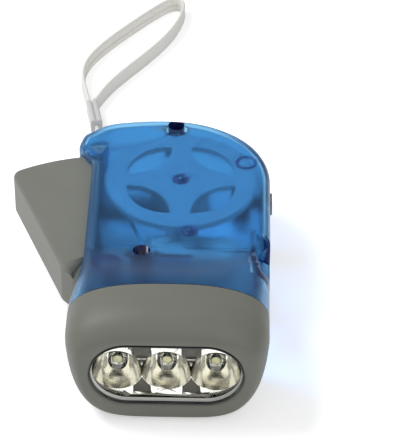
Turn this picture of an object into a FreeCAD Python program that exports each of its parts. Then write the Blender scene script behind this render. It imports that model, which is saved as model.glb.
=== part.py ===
import FreeCAD, Part

import math
import os

from FreeCAD import Vector

# Squeeze-lever dynamo torch. Millimetres. X is across, with the squeeze lever on the -X side,
# +Y points to the rear, so the lamp shines along -Y, and +Z is up. The origin is the middle of
# the flat bottom that the torch rests on, half way along the case.

# Outer form of the case
FRONT_Y = -46.8
SEAM_Y = -31.0
SEAM_GAP = 0.2
NECK_Y = -9.0
NECK_STEP = 0.03
NECK_SECTIONS = 7
CASE_TOP = 26.4
CASE_RIGHT = 25.8
CASE_LEFT = -22.6
CASE_EDGE = 3.0
WALL = 1.6
JOIN_Z = 16.5
FLOOR_Z = WALL
CEILING_Z = CASE_TOP - WALL

# Corners of the case's plan outline as x, y and radius. Radius 0 is as large as the sides allow
CASE_CORNERS = [
    (CASE_RIGHT, 28.4, 0.0),
    (20.1, 39.4, 0.0),
    (8.4, 47.1, 0.0),
    (-5.2, 48.5, 0.0),
    (-19.4, 46.3, 0.0),
    (-25.8, 40.7, 3.0),
    (-26.7, 36.4, 2.0),
    (CASE_LEFT, 29.2, 4.0),
]

# Head, lens, reflector and lamps
HEAD_HALF_WIDTH = 25.6
HEAD_TOP = 32.6
HEAD_WIDEST_Z = 20.0
HEAD_Z = 15.6
HEAD_UPPER_POWER = 2.6
HEAD_LOWER_POWER = 4.6
HEAD_TAPER = 0.14
HEAD_TAPER_POWER = 1.4

# Sections of the head outside, as the insets of its top, its sides and its bottom, and y
HEAD_PROFILE = [
    (0.0, 0.0, 0.0, SEAM_Y - SEAM_GAP),
    (0.0, 0.0, 0.0, -35.0),
    (0.1, 0.07, 0.04, -39.0),
    (0.9, 0.64, 0.32, -42.4),
    (2.4, 1.7, 0.86, -44.8),
    (4.1, 2.9, 1.46, -46.3),
    (5.4, 3.82, 1.93, FRONT_Y),
]

# Sections of the head's cavity, as one inset all round, and y
HEAD_CAVITY = [(2.0, SEAM_Y), (1.9, -36.0), (2.4, -40.0), (3.6, -43.4)]
WINDOW_HALF_WIDTH = 19.3
WINDOW_RADIUS = 9.6
LENS_LIP = 0.8
LENS_Y = -45.6
LENS_THICKNESS = 1.0
SEAL_THICKNESS = 0.35
SEAL_DEPTH = 1.0
CUP_PITCH = 12.3
CUP_X = [-CUP_PITCH, 0.0, CUP_PITCH]
CUP_RADIUS = 6.35
CUP_ROOT_RADIUS = 2.7
CUP_ROOT_Y = -37.5
REFLECTOR_Y = -44.5
REFLECTOR_BACK_Y = -36.3
WELL_DEPTH = 2.0
LED_RADIUS = 2.5
LED_BASE_Y = -35.7
LED_TIP_Y = -43.4
BOARD_Y = -34.4
BOARD_THICKNESS = 1.6

# Lever, its pin and the toothed sector inside the case
PIVOT = (-16.2, -15.2)
LEVER_BOTTOM = 10.4
LEVER_TOP = 22.4
LEVER_REACH = 50.8
LEVER_WALL = 1.5
LEVER_INSIDE_X = -20.0
POCKET_X = -19.2
LEVER_FRONT = (-28.4, -12.4)
LEVER_CORNER = (-43.6, 24.6)
HUB_RADIUS = 5.2
STEP_RADIUS = 9.2
STEP_TOP = 21.0
PIN_RADIUS = 2.0
SECTOR_MODULE = 1.0
SECTOR_TEETH = 70
PINION_TEETH = 12
AXLE_ANGLE = 64.0
AXLE_RADIUS = 1.0
SECTOR_BOTTOM = 14.2
SECTOR_TOP = 17.2
SPRING_RADIUS = 4.0
SPRING_WIRE = 0.7
SPRING_PITCH = 1.2
SPRING_TURNS = 4
SPRING_LOW = 4.0

# Step-up gear, free-wheel clutch and generator
GEAR_MODULE = 0.4
GEAR_TEETH = 102
ROTOR_TEETH = 10
GEAR_BOTTOM = 22.8
GEAR_TOP = 24.4
GEAR_LEAVES = [45.7, 135.7, 225.7, 315.7]
LEAF_MIDDLE = 12.2
LEAF_HALF_WIDTH = 3.7
LEAF_HALF_LENGTH = 8.4
ROTOR_DIRECTION = -82.8
PRESSURE_ANGLE = 25.0
SHORT_ADDENDUM = 0.7
FIT = 0.05
RATCHET_TEETH = 10
RATCHET_BOTTOM = 17.5
RATCHET_TOP = 19.2
CARRIER_RADIUS = 7.6
CARRIER_TOP = 20.6
STATOR_RADIUS = 11.0
STATOR_LOW = FLOOR_Z + 0.1
STATOR_TOP = 10.9
MAGNET_RADIUS = 7.9
COVER_TOP = 19.8

# Screws, cells and electrics
REAR_SCREW = (-0.1, 44.3)
FRONT_SCREW = (-7.5, -10.6)
SCREW_SEAT_Z = 19.0
RECESS_RADIUS = 2.25
BOSS_RADIUS = 3.4
CORNER_MARK = (19.3, 29.4)
CELL_RADIUS = 3.85
CELL_LENGTH = 8.4
CELL_ROUNDING = 0.5
CELL_CONTACT = 0.2
CELL_CONTACT_RADIUS = 1.6
CELL_PITCH = 8.6
CELL_X = [-12.1, -3.5, 5.1]
CELL_Y = 31.8
CELL_Z = 5.76
LINK_THICKNESS = 0.2
LINK_HALF_WIDTH = 1.5
LINK_LOW = 3.4
LINK_HIGH = 7.8
SLEEVE_THICKNESS = 0.2
CHARGE_BOARD = (-11.0, 12.0, -27.0, -15.2)
SWITCH_TRAVEL = 3.0

# Wrist strap: two strings from a hole at the rear, a crimped ferrule and a loop of flat braid
TAPE_WIDTH = 5.0
TAPE_THICKNESS = 1.2
TAPE_Z = TAPE_WIDTH / 2 + 0.1
STRING_RADIUS = 0.8
FERRULE_START = (-24.5, 75.5)
FERRULE_END = (-26.5, 85.7)
STRING_ROUTE = [(-19.2, 41.5, 12.0), (-22.1, 47.5, 11.8), (-23.0, 52.4, 8.6), (-23.3, 57.4, 4.4),
                (-23.2, 63.6, 1.8), (-23.8, 69.6, 1.7), (-24.5, 75.5, 2.6)]
TAPE_ROUTE = [(-27.3, 85.5), (-28.7, 91.6), (-30.1, 98.2), (-29.9, 105.6), (-27.0, 113.0),
              (-22.4, 120.2), (-17.0, 127.6), (-11.4, 134.8), (-6.6, 140.4), (-3.1, 142.9),
              (-0.9, 141.3), (-0.5, 137.6), (-1.6, 131.4), (-4.4, 123.6), (-8.9, 115.4),
              (-14.4, 107.2), (-19.6, 99.4), (-23.4, 92.4), (-25.7, 85.9)]

CENTRE_DISTANCE = SECTOR_MODULE * (SECTOR_TEETH + PINION_TEETH) / 2
ROTOR_DISTANCE = GEAR_MODULE * (GEAR_TEETH + ROTOR_TEETH) / 2
AXLE = (
    PIVOT[0] + CENTRE_DISTANCE * math.cos(math.radians(AXLE_ANGLE)),
    PIVOT[1] + CENTRE_DISTANCE * math.sin(math.radians(AXLE_ANGLE)),
)
ROTOR = (
    AXLE[0] + ROTOR_DISTANCE * math.cos(math.radians(ROTOR_DIRECTION)),
    AXLE[1] + ROTOR_DISTANCE * math.sin(math.radians(ROTOR_DIRECTION)),
)
SECTOR_RADIUS = SECTOR_MODULE * SECTOR_TEETH / 2
GEAR_RADIUS = GEAR_MODULE * GEAR_TEETH / 2


def polar(centre, radius, degrees):
    """Return the point at a radius and an angle about a centre."""
    turn = math.radians(degrees)
    return (centre[0] + radius * math.cos(turn), centre[1] + radius * math.sin(turn))


def cylinder(centre, radius, low, high):
    """Return an upright cylinder."""
    return Part.makeCylinder(radius, high - low, Vector(centre[0], centre[1], low))


def ring(centre, inner, outer, low, high):
    """Return an upright ring."""
    return cylinder(centre, outer, low, high).cut(cylinder(centre, inner, low - 1, high + 1))


def box(x0, x1, y0, y1, z0, z1):
    """Return a box between two corners."""
    return Part.makeBox(x1 - x0, y1 - y0, z1 - z0, Vector(x0, y0, z0))


def slab(edges, low, high):
    """Return the solid between two heights over a closed plan outline."""
    face = Part.Face(Part.Wire(Part.__sortEdges__(edges)))
    solid = face.extrude(Vector(0, 0, high - low))
    solid.translate(Vector(0, 0, low))
    return solid


def line(a, b, z=0.0):
    """Return a straight edge between two plan points."""
    return Part.LineSegment(Vector(a[0], a[1], z), Vector(b[0], b[1], z)).toShape()


def arc(a, b, c, z=0.0):
    """Return the arc edge from a through b to c."""
    points = [Vector(p[0], p[1], z) for p in (a, b, c)]
    return Part.Arc(*points).toShape()


def polygon(points, low, high):
    """Return the prism over a closed polygon."""
    ends = points[1:] + points[:1]
    return slab([line(a, b) for a, b in zip(points, ends)], low, high)


def band(centre, inner, outer, start, end, low, high):
    """Return a ring sector between two radii and two angles."""
    middle = (start + end) / 2
    edges = [
        line(polar(centre, inner, start), polar(centre, outer, start)),
        arc(*[polar(centre, outer, a) for a in (start, middle, end)]),
        line(polar(centre, outer, end), polar(centre, inner, end)),
        arc(*[polar(centre, inner, a) for a in (end, middle, start)]),
    ]
    return slab(edges, low, high)


def fuse(shapes):
    """Return the union of several solids as one clean solid."""
    return shapes[0].multiFuse(shapes[1:]).removeSplitter()


def lying(centre, radius, y0, y1):
    """Return a cylinder along Y, centred at x and z."""
    return Part.makeCylinder(radius, y1 - y0, Vector(centre[0], y0, centre[1]), Vector(0, 1, 0))


def stadium(half_width, radius, y0, y1):
    """Return a round-ended prism along Y about the head's mid height, flat above and below."""
    straight = half_width - radius
    core = box(-straight, straight, y0, y1, HEAD_Z - radius, HEAD_Z + radius)
    return fuse([core] + [lying((side * straight, HEAD_Z), radius, y0, y1) for side in (-1, 1)])


def head_point(turn, insets, y):
    """Return a point of the head's section: two half superellipses, narrowing to the bottom."""
    top, side, bottom = insets
    c = math.cos(turn)
    s = math.sin(turn)
    power = HEAD_UPPER_POWER
    reach = HEAD_TOP - HEAD_WIDEST_Z - top
    if s < 0:
        power = HEAD_LOWER_POWER
        reach = HEAD_WIDEST_Z - bottom
    x = math.copysign(abs(c) ** (2 / power), c) * (HEAD_HALF_WIDTH - side)
    z = HEAD_WIDEST_Z + math.copysign(abs(s) ** (2 / power), s) * reach
    if z < HEAD_WIDEST_Z:
        x *= 1 - HEAD_TAPER * ((HEAD_WIDEST_Z - z) / HEAD_WIDEST_Z) ** HEAD_TAPER_POWER
    return Vector(x, y, z)


def head_wire(insets, y):
    """Return one closed smooth section of the head."""
    count = 48
    turns = [2 * math.pi * (i + 0.5) / count for i in range(count)]
    curve = Part.BSplineCurve()
    curve.interpolate([head_point(t, insets, y) for t in turns], PeriodicFlag=True)
    return Part.Wire(curve.toShape())


def head_loft(sections):
    """Return the smooth solid through sections given as one inset all round and y."""
    return Part.makeLoft([head_wire((inset, inset, inset), y) for inset, y in sections], True, False)


def rounded_point(left, right, low, high, radius, span, part):
    """Return a point on one of eight spans of a rounded rectangle, and its matching head angle."""
    corners = [
        (right - radius, high - radius, 0),
        (left + radius, high - radius, 90),
        (left + radius, low + radius, 180),
        (right - radius, low + radius, 270),
    ]
    index = (span // 2) % 4
    x, z, start = corners[index]
    if span % 2 == 0:
        turn = math.radians(start + 90 * part)
        return x + radius * math.cos(turn), z + radius * math.sin(turn)
    end = math.radians(start + 90)
    next_x, next_z, next_start = corners[(index + 1) % 4]
    x0 = x + radius * math.cos(end)
    z0 = z + radius * math.sin(end)
    x1 = next_x + radius * math.cos(math.radians(next_start))
    z1 = next_z + radius * math.sin(math.radians(next_start))
    return x0 + (x1 - x0) * part, z0 + (z1 - z0) * part


def neck_wire(blend, y, inset):
    """Return a section of the neck, from the case's box section (0) to the head's (1)."""
    corner_turns = [18.0, 72.0, 108.0, 162.0, 198.0, 252.0, 288.0, 342.0, 378.0]
    edges = []
    for span in range(8):
        points = []
        for step in range(9):
            part = step / 8
            x, z = rounded_point(
                CASE_LEFT + inset, CASE_RIGHT - inset, inset, CASE_TOP - inset,
                max(CASE_EDGE - inset, 0.8), span, part)
            turn = corner_turns[span] + (corner_turns[span + 1] - corner_turns[span]) * part
            head = head_point(math.radians(turn), (inset, inset, inset), y)
            points.append(Vector(x + (head.x - x) * blend, y, z + (head.z - z) * blend))
        curve = Part.BSplineCurve()
        curve.interpolate(points)
        edges.append(curve.toShape())
    return Part.Wire(edges)


def neck(inset, end_y):
    """Return the neck, which swells smoothly from the case to the head."""
    wires = []
    for step in range(NECK_SECTIONS):
        part = step / (NECK_SECTIONS - 1)
        blend = part * part * (3 - 2 * part)
        wires.append(neck_wire(blend, NECK_Y + (end_y - NECK_Y) * part, inset + NECK_STEP))
    return Part.makeLoft(wires, True, False)


def rounded_outline(corners):
    """Return the closed wire of lines and tangent arcs around rounded corners, given as x, y, radius."""
    count = len(corners)
    points = [Vector(x, y, 0) for x, y, _ in corners]
    cuts = []
    for i in range(count):
        back = points[i - 1] - points[i]
        ahead = points[(i + 1) % count] - points[i]
        half = back.getAngle(ahead) / 2
        radius = corners[i][2]
        reach = radius / math.tan(half) if radius > 0 else 0.5 * min(back.Length, ahead.Length)
        if radius < 0:
            reach = 0.0
        start = points[i] + back.normalize() * reach
        end = points[i] + ahead.normalize() * reach
        inward = (back + ahead).normalize()
        depth = reach / math.cos(half) - reach * math.tan(half)
        cuts.append((start, points[i] + inward * depth, end, reach))
    edges = []
    for i in range(count):
        start, middle, end, reach = cuts[i]
        if reach > 0:
            edges.append(Part.Arc(start, middle, end).toShape())
        after = cuts[(i + 1) % count][0]
        if (after - end).Length > 1e-6:
            edges.append(Part.LineSegment(end, after).toShape())
    return Part.Wire(edges)


def case_plan(inset):
    """Return the plan outline of the case behind the neck, moved in by an inset."""
    square = [(CASE_LEFT, -40.0, -1.0), (CASE_RIGHT, -40.0, -1.0)]
    wire = rounded_outline(square + CASE_CORNERS)
    if inset > 0:
        wire = wire.makeOffset2D(-inset)
    return wire


def case_body(inset):
    """Return the case's main block, with its upper and lower edges rounded."""
    solid = Part.Face(case_plan(inset)).extrude(Vector(0, 0, CASE_TOP - 2 * inset))
    solid.translate(Vector(0, 0, inset))
    rims = [e for e in solid.Edges if e.BoundBox.ZLength < 0.01 and e.BoundBox.YMax > -39]
    solid = solid.makeFillet(max(CASE_EDGE - inset, 0.8), rims)
    return solid.common(box(-60, 60, NECK_Y, 80, -5, 60))


def involute(angle):
    """Return the involute function of an angle."""
    return math.tan(angle) - angle


def tooth_flank(teeth, module, tip, root, backlash):
    """Return radii and half angles down one flank of a tooth, from its tip to its root."""
    pitch = module * teeth / 2
    pressure = math.radians(PRESSURE_ANGLE)
    base = pitch * math.cos(pressure)
    at_pitch = math.pi / (2 * teeth) - backlash / (2 * pitch)
    low = max(base, root)
    flank = []
    for step in range(5):
        radius = tip + (low - tip) * step / 4
        slope = math.acos(min(1.0, base / radius))
        flank.append((radius, at_pitch + involute(pressure) - involute(slope)))
    if root < base:
        flank.append((root, flank[-1][1]))
    return flank


def spur_gear(centre, teeth, module, addendum, phase, low, high):
    """Return a spur gear whose first tooth points along the phase angle."""
    pitch = module * teeth / 2
    flank = tooth_flank(teeth, module, pitch + addendum * module, pitch - 1.25 * module, 0.16 * module)
    points = []
    for tooth in range(teeth):
        middle = math.radians(phase) + 2 * math.pi * tooth / teeth
        for radius, half in reversed(flank):
            points.append(polar(centre, radius, math.degrees(middle - half)))
        for radius, half in flank:
            points.append(polar(centre, radius, math.degrees(middle + half)))
    return polygon(points, low, high)


def sector_teeth(centre, start, end, phase, low, high):
    """Return the separate teeth of the lever's sector between two angles."""
    tip = SECTOR_RADIUS + 0.9 * SECTOR_MODULE
    root = SECTOR_RADIUS - 1.25 * SECTOR_MODULE
    flank = tooth_flank(SECTOR_TEETH, SECTOR_MODULE, tip, root, 0.16 * SECTOR_MODULE)
    pitch = 360 / SECTOR_TEETH
    teeth = []
    first = math.ceil((start - phase) / pitch)
    last = math.floor((end - phase) / pitch)
    for tooth in range(first, last + 1):
        middle = phase + tooth * pitch
        foot = [polar(centre, root - 0.6, middle + s * math.degrees(flank[-1][1])) for s in (-1, 1)]
        rising = [polar(centre, r, middle - math.degrees(h)) for r, h in reversed(flank)]
        falling = [polar(centre, r, middle + math.degrees(h)) for r, h in flank]
        teeth.append(polygon([foot[0]] + rising + falling + [foot[1]], low, high))
    return teeth


def make_case():
    """Return the upper and lower halves of the case."""
    outer = case_body(0.0).fuse(neck(0.0, SEAM_Y)).removeSplitter()
    hollow = case_body(WALL).fuse(neck(WALL, SEAM_Y - 1.0))
    shell = outer.cut(hollow)

    # Walls of the finger notch at the right of the neck, and behind the lever's pocket
    notch_wall = polygon([(20.7, 0.6), (27.0, -3.8), (27.0, -20.0), (21.0, -20.0), (20.7, -11.0)],
                         10.4, CASE_TOP)
    pocket_wall = band(PIVOT, LEVER_REACH + 0.6, LEVER_REACH + 1.9, 92.5, 108.0, 1.0, CASE_TOP - 0.5)
    shell = shell.fuse(outer.common(notch_wall)).fuse(outer.common(pocket_wall))
    shell = shell.cut(polygon(
        [(21.9, -1.2), (27.0, -4.8), (27.0, -18.6), (23.6, -18.6), (21.9, -11.0)], JOIN_Z, 40.0))
    shell = shell.cut(box(22.3, 24.4, -18.6, -3.2, 11.6, 17.4))

    # Pocket that the lever closes into, shaped to the lever's nose at the front
    low = LEVER_BOTTOM - 0.4
    high = LEVER_TOP + 0.3
    pocket = band(PIVOT, 4.0, LEVER_REACH + 0.6, 84.0, 186.0, low, high)
    nose = polygon([(-30.0, -12.0), (-25.1, -17.2), (-16.2, -21.2), (-16.2, -10.0)], low, high)
    shell = shell.cut(pocket.fuse(nose).common(box(-60, POCKET_X, -40, 60, 0, 40)))

    upper_parts = [shell.common(box(-60, 60, -60, 80, JOIN_Z, 60))]
    lower_parts = [shell.common(box(-60, 60, -60, 80, -5, JOIN_Z))]

    # Bosses for the two case screws, with the way for the driver above the head
    for spot in (REAR_SCREW, FRONT_SCREW):
        upper_parts.append(outer.common(cylinder(spot, BOSS_RADIUS, JOIN_Z, CASE_TOP - 0.2)))
        lower_parts.append(outer.common(cylinder(spot, 3.0, 1.0, JOIN_Z)))
    # Lever pin, main axle and rotor axle bosses
    upper_parts.append(cylinder(PIVOT, 3.1, STEP_TOP + 0.4, CEILING_Z + 0.4))
    upper_parts.append(cylinder(AXLE, 2.3, GEAR_TOP + 0.1, CEILING_Z + 0.4))
    upper_parts.append(cylinder(ROTOR, 2.3, GEAR_TOP + 0.15, CEILING_Z + 0.4))
    upper_parts.append(ring(CORNER_MARK, 2.1, 2.9, CEILING_Z - 0.25, CEILING_Z + 0.3))
    upper_parts.append(outer.common(ring(PIVOT, 3.0, 3.8, CEILING_Z - 0.25, CASE_TOP - 0.4)))
    lower_parts.append(cylinder(PIVOT, 3.1, 1.0, 11.6))
    lower_parts.append(cylinder(AXLE, 2.4, 1.0, 13.8))
    lower_parts.append(cylinder(ROTOR, 1.9, 1.0, 2.4))
    # Cross rib in the roof of the neck and feet for the circuit board and the switch
    upper_parts.append(box(-4.3, 5.2, -12.2, -11.4, 21.5, CEILING_Z + 0.4))
    x0, x1, y0, y1 = CHARGE_BOARD
    for x in (x0 + 1.6, x1 - 1.6):
        for y in (y0 + 1.6, y1 - 1.6):
            lower_parts.append(cylinder((x, y), 1.2, 1.0, 3.0))
    lower_parts.append(box(16.4, 20.0, 19.0, 25.0, 1.0, 12.6))

    upper = fuse(upper_parts)
    lower = fuse(lower_parts)
    for spot in (REAR_SCREW, FRONT_SCREW):
        upper = upper.cut(cylinder(spot, RECESS_RADIUS, SCREW_SEAT_Z, 40.0))
        upper = upper.cut(cylinder(spot, 1.3, 10.0, 40.0))
        lower = lower.cut(cylinder(spot, 1.1, 5.0, 40.0))
    upper = upper.cut(cylinder(PIVOT, PIN_RADIUS, 10.0, CEILING_Z + 0.6))
    upper = upper.cut(cylinder(AXLE, AXLE_RADIUS, 10.0, CEILING_Z + 0.7))
    upper = upper.cut(cylinder(ROTOR, 0.75, 10.0, CEILING_Z + 0.7))
    upper = upper.cut(ring(AXLE, 2.4, GEAR_RADIUS + 0.9, GEAR_BOTTOM - 0.3, GEAR_TOP + 0.15))
    lower = lower.cut(cylinder(PIVOT, PIN_RADIUS, 0.9, 20.0))
    lower = lower.cut(cylinder(AXLE, AXLE_RADIUS, 0.9, 20.0))
    lower = lower.cut(cylinder(ROTOR, 0.75, 0.9, 20.0))
    # Slot for the switch knob, and the strap hole
    slot = box(21.5, 30.0, 25.2 - 6.0 - SWITCH_TRAVEL - 0.4, 25.3, 14.8, 18.2)
    strap_hole = Part.makeCylinder(1.2, 12.0, Vector(-18.7, 40.5, 12.03), Vector(-2.9, 6.0, -0.2))
    return upper.cut(slot), lower.cut(slot).cut(strap_hole)


def make_head():
    """Return the head's moulding, with its collar, lens seat, window and two snap pips."""
    wires = [head_wire((top, side, bottom), y) for top, side, bottom, y in HEAD_PROFILE]
    body = Part.makeLoft(wires, True, False).cut(head_loft(HEAD_CAVITY))
    body = body.cut(stadium(WINDOW_HALF_WIDTH, WINDOW_RADIUS, FRONT_Y - 1, -43.0))
    body = body.cut(stadium(WINDOW_HALF_WIDTH + LENS_LIP, WINDOW_RADIUS + LENS_LIP,
                            LENS_Y - FIT, -43.0))
    collar = head_loft([(1.75, SEAM_Y - 1.2), (1.75, SEAM_Y), (2.9, SEAM_Y + 3.0)])
    collar = collar.cut(head_loft([(2.9, SEAM_Y - 1.3), (2.9, SEAM_Y), (4.1, SEAM_Y + 3.2)]))
    web = head_loft([(1.0, SEAM_Y - 1.2), (1.0, SEAM_Y - 0.4)])
    web = web.cut(head_loft([(2.9, SEAM_Y - 1.3), (2.9, SEAM_Y)]))
    pips = []
    root = HEAD_HALF_WIDTH - 0.8
    for side, reach in ((1, 1.4), (-1, 0.5)):
        base = Vector(side * root, SEAM_Y - 1.6, HEAD_Z + 2.5)
        pips.append(Part.makeCylinder(0.7, 0.8 + reach, base, Vector(side, 0, 0)))
    return fuse([body, collar, web] + pips)


def make_lens():
    """Return the clear front plate, round-ended like the window."""
    return stadium(WINDOW_HALF_WIDTH + LENS_LIP - 0.1, WINDOW_RADIUS + LENS_LIP - 0.1,
                   LENS_Y, LENS_Y + LENS_THICKNESS)


def make_lens_seal():
    """Return the black seal that lines the window in front of the lens."""
    outer = stadium(WINDOW_HALF_WIDTH - FIT, WINDOW_RADIUS - FIT, LENS_Y - SEAL_DEPTH, LENS_Y - FIT)
    inner = stadium(WINDOW_HALF_WIDTH - SEAL_THICKNESS, WINDOW_RADIUS - SEAL_THICKNESS,
                    LENS_Y - SEAL_DEPTH - 1, LENS_Y + 1)
    return outer.cut(inner)


def upright(points, y0, y1):
    """Return the prism along Y over a closed polygon of points given as x and z."""
    corners = [Vector(x, y0, z) for x, z in points]
    face = Part.Face(Part.makePolygon(corners + corners[:1]))
    return face.extrude(Vector(0, y1 - y0, 0))


def cup_bowl(x):
    """Return the space inside one bowl of the reflector, open to the front."""
    depth = CUP_ROOT_Y - REFLECTOR_Y
    steps = 8
    curve = []
    for step in range(steps + 1):
        part = step / steps
        radius = CUP_ROOT_RADIUS + (CUP_RADIUS - CUP_ROOT_RADIUS) * math.sqrt(part)
        curve.append(Vector(x + radius, CUP_ROOT_Y - depth * part, HEAD_Z))
    wall = Part.BSplineCurve()
    wall.interpolate(curve)
    mouth = Vector(x + CUP_RADIUS, REFLECTOR_Y - 1, HEAD_Z)
    front = Vector(x, REFLECTOR_Y - 1, HEAD_Z)
    back = Vector(x, CUP_ROOT_Y, HEAD_Z)
    loop = [curve[-1], mouth, front, back, curve[0]]
    edges = [wall.toShape()] + [line(a, b, HEAD_Z) for a, b in zip(loop, loop[1:])]
    return Part.Face(Part.Wire(edges)).revolve(Vector(x, 0, HEAD_Z), Vector(0, 1, 0), 360)


def make_reflector():
    """Return the bright reflector: three bowls, a rear flange and wells between the bowls."""
    body = stadium(WINDOW_HALF_WIDTH - 0.35, WINDOW_RADIUS - 0.4, REFLECTOR_Y, REFLECTOR_BACK_Y)
    flange = stadium(WINDOW_HALF_WIDTH + 1.9, WINDOW_RADIUS + 1.9, -43.2, -42.0)
    body = fuse([body, flange])
    for x in CUP_X:
        body = body.cut(cup_bowl(x))
        body = body.cut(lying((x, HEAD_Z), CUP_ROOT_RADIUS, CUP_ROOT_Y - 0.5, REFLECTOR_BACK_Y + 1))
    # Wells: an oblong and a small wedge above where two bowls meet, and a wider wedge below
    wells = [
        [(-2.35, 3.9), (2.35, 3.9), (2.35, 8.8), (-2.35, 8.8)],
        [(-0.8, 3.4), (0.0, 1.9), (0.8, 3.4)],
        [(-0.1, -2.7), (-1.7, -4.9), (-2.4, -7.8), (2.4, -7.8), (1.7, -4.9), (0.1, -2.7)],
    ]
    for x in (-CUP_PITCH / 2, CUP_PITCH / 2):
        for well in wells:
            outline = [(x + across, HEAD_Z + up) for across, up in well]
            body = body.cut(upright(outline, REFLECTOR_Y - 1, REFLECTOR_Y + WELL_DEPTH))
    return body


def make_led(x):
    """Return one 5 mm lamp: domed body, rim and two legs, along Y."""
    straight_y = LED_TIP_Y + LED_RADIUS
    body = lying((x, HEAD_Z), LED_RADIUS, straight_y, LED_BASE_Y)
    dome = Part.makeSphere(LED_RADIUS, Vector(x, straight_y, HEAD_Z))
    rim = lying((x, HEAD_Z), LED_RADIUS + 0.15, LED_BASE_Y - 1.0, LED_BASE_Y)
    legs = [lying((x + side * 1.27, HEAD_Z), 0.25, LED_BASE_Y - 0.1, BOARD_Y + BOARD_THICKNESS + 1)
            for side in (-1, 1)]
    return fuse([body, dome, rim] + legs)


def make_led_board():
    """Return the lamp board, drilled for the lamps' legs."""
    board = stadium(WINDOW_HALF_WIDTH - 0.4, WINDOW_RADIUS - 0.8, BOARD_Y, BOARD_Y + BOARD_THICKNESS)
    for x in CUP_X:
        for side in (-1, 1):
            board = board.cut(lying((x + side * 1.27, HEAD_Z), 0.25, BOARD_Y - 1, BOARD_Y + 3))
    return board


def lever_plan(inset, inside_x, low, high):
    """Return the prism of the lever's plan, moved in by an inset except at its open inner side."""
    along = Vector(LEVER_CORNER[0] - LEVER_FRONT[0], LEVER_CORNER[1] - LEVER_FRONT[1], 0).normalize()
    inward = Vector(along.y, -along.x, 0)
    start = Vector(*LEVER_FRONT, 0) + inward * inset
    far = start + along * 60
    if inset > 0:
        near = [(start.x, start.y), (start.x + 4, start.y - 1.5), (inside_x, start.y)]
    else:
        near = [(start.x, start.y), (start.x + 3.8, start.y - 4.2), (PIVOT[0], PIVOT[1] - HUB_RADIUS),
                (PIVOT[0] + HUB_RADIUS - 0.5, PIVOT[1]), (inside_x, PIVOT[1] + 8)]
    sides = [(far.x, far.y)] + near + [(inside_x, 60.0)]
    return polygon(sides, low, high).common(cylinder(PIVOT, LEVER_REACH - inset, low, high))


def make_lever():
    """Return the squeeze lever: a hollow grip, its hub and the toothed sector inside the case."""
    grip = lever_plan(0.0, LEVER_INSIDE_X, LEVER_BOTTOM, LEVER_TOP)
    corners = []
    for edge in grip.Edges:
        bounds = edge.BoundBox
        upright = bounds.ZLength > 10 and bounds.XLength < 0.01
        if upright and (bounds.XMax < -40 or (bounds.XMax < -28 and bounds.YMax < 0)):
            corners.append(edge)
    grip = grip.makeFillet(3.2, corners)
    rims = []
    for edge in grip.Edges:
        bounds = edge.BoundBox
        flat = bounds.ZLength < 0.01 and bounds.XMax < LEVER_INSIDE_X + 0.01
        if flat and bounds.XMin < LEVER_INSIDE_X - 0.01 and bounds.YMax > LEVER_FRONT[1] + 0.5:
            rims.append(edge)
    grip = grip.makeFillet(0.7, rims)
    hollow = lever_plan(LEVER_WALL, LEVER_INSIDE_X + 1, LEVER_BOTTOM + 1.4, LEVER_TOP - 1.4)
    grip = grip.cut(hollow.cut(cylinder(PIVOT, STEP_RADIUS + 1.2, 0, 40)))
    grip = grip.cut(cylinder(PIVOT, STEP_RADIUS, STEP_TOP, 40))
    grip = grip.cut(cylinder(PIVOT, STEP_RADIUS, 0, 12.0))

    hub = cylinder(PIVOT, HUB_RADIUS, 12.0, STEP_TOP)
    web = band(PIVOT, 8.0, LEVER_REACH - 0.8, 98.0, 119.0, SECTOR_BOTTOM, SECTOR_TOP)
    start = AXLE_ANGLE - 4.0
    root = SECTOR_RADIUS - 1.25 * SECTOR_MODULE
    arm = band(PIVOT, SECTOR_RADIUS - 4.4, root, start, 100.0, SECTOR_BOTTOM, SECTOR_TOP)
    teeth = sector_teeth(PIVOT, start + 1.5, 96.0, AXLE_ANGLE, SECTOR_BOTTOM, SECTOR_TOP)
    lever = fuse([grip, hub, web, arm] + teeth)
    return lever.cut(cylinder(PIVOT, PIN_RADIUS + FIT, 0, 40))


def make_lever_spring():
    """Return the lever's torsion spring: turns of wire round the pin's lower boss, and two legs."""
    low = Vector(PIVOT[0] + SPRING_RADIUS, PIVOT[1], SPRING_LOW)
    high = low + Vector(0, 0, SPRING_PITCH * SPRING_TURNS)
    helix = Part.makeHelix(SPRING_PITCH, SPRING_PITCH * SPRING_TURNS, SPRING_RADIUS)
    helix.translate(Vector(PIVOT[0], PIVOT[1], SPRING_LOW))
    slope = Vector(0, 2 * math.pi * SPRING_RADIUS, SPRING_PITCH).normalize()
    foot = Part.LineSegment(low - slope * 3.0, low).toShape()
    leg = Part.LineSegment(high, high + slope * 7.0).toShape()
    path = Part.Wire([foot] + list(helix.Edges) + [leg])
    section = Part.Wire(Part.makeCircle(SPRING_WIRE / 2, low - slope * 3.0, slope))
    shell = Part.BRepOffsetAPI.MakePipeShell(path)
    shell.setFrenetMode(False)
    shell.add(section, False, False)
    shell.build()
    shell.makeSolid()
    return shell.shape()


def make_drive_pinion():
    """Return the small pinion that the sector turns, with a short collar under it."""
    toward = AXLE_ANGLE + 180.0
    pinion = spur_gear(AXLE, PINION_TEETH, SECTOR_MODULE, 0.9, toward + 180 / PINION_TEETH,
                       SECTOR_BOTTOM - 0.2, SECTOR_TOP + 0.3)
    return pinion.cut(cylinder(AXLE, AXLE_RADIUS + FIT, 0, 40))


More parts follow.
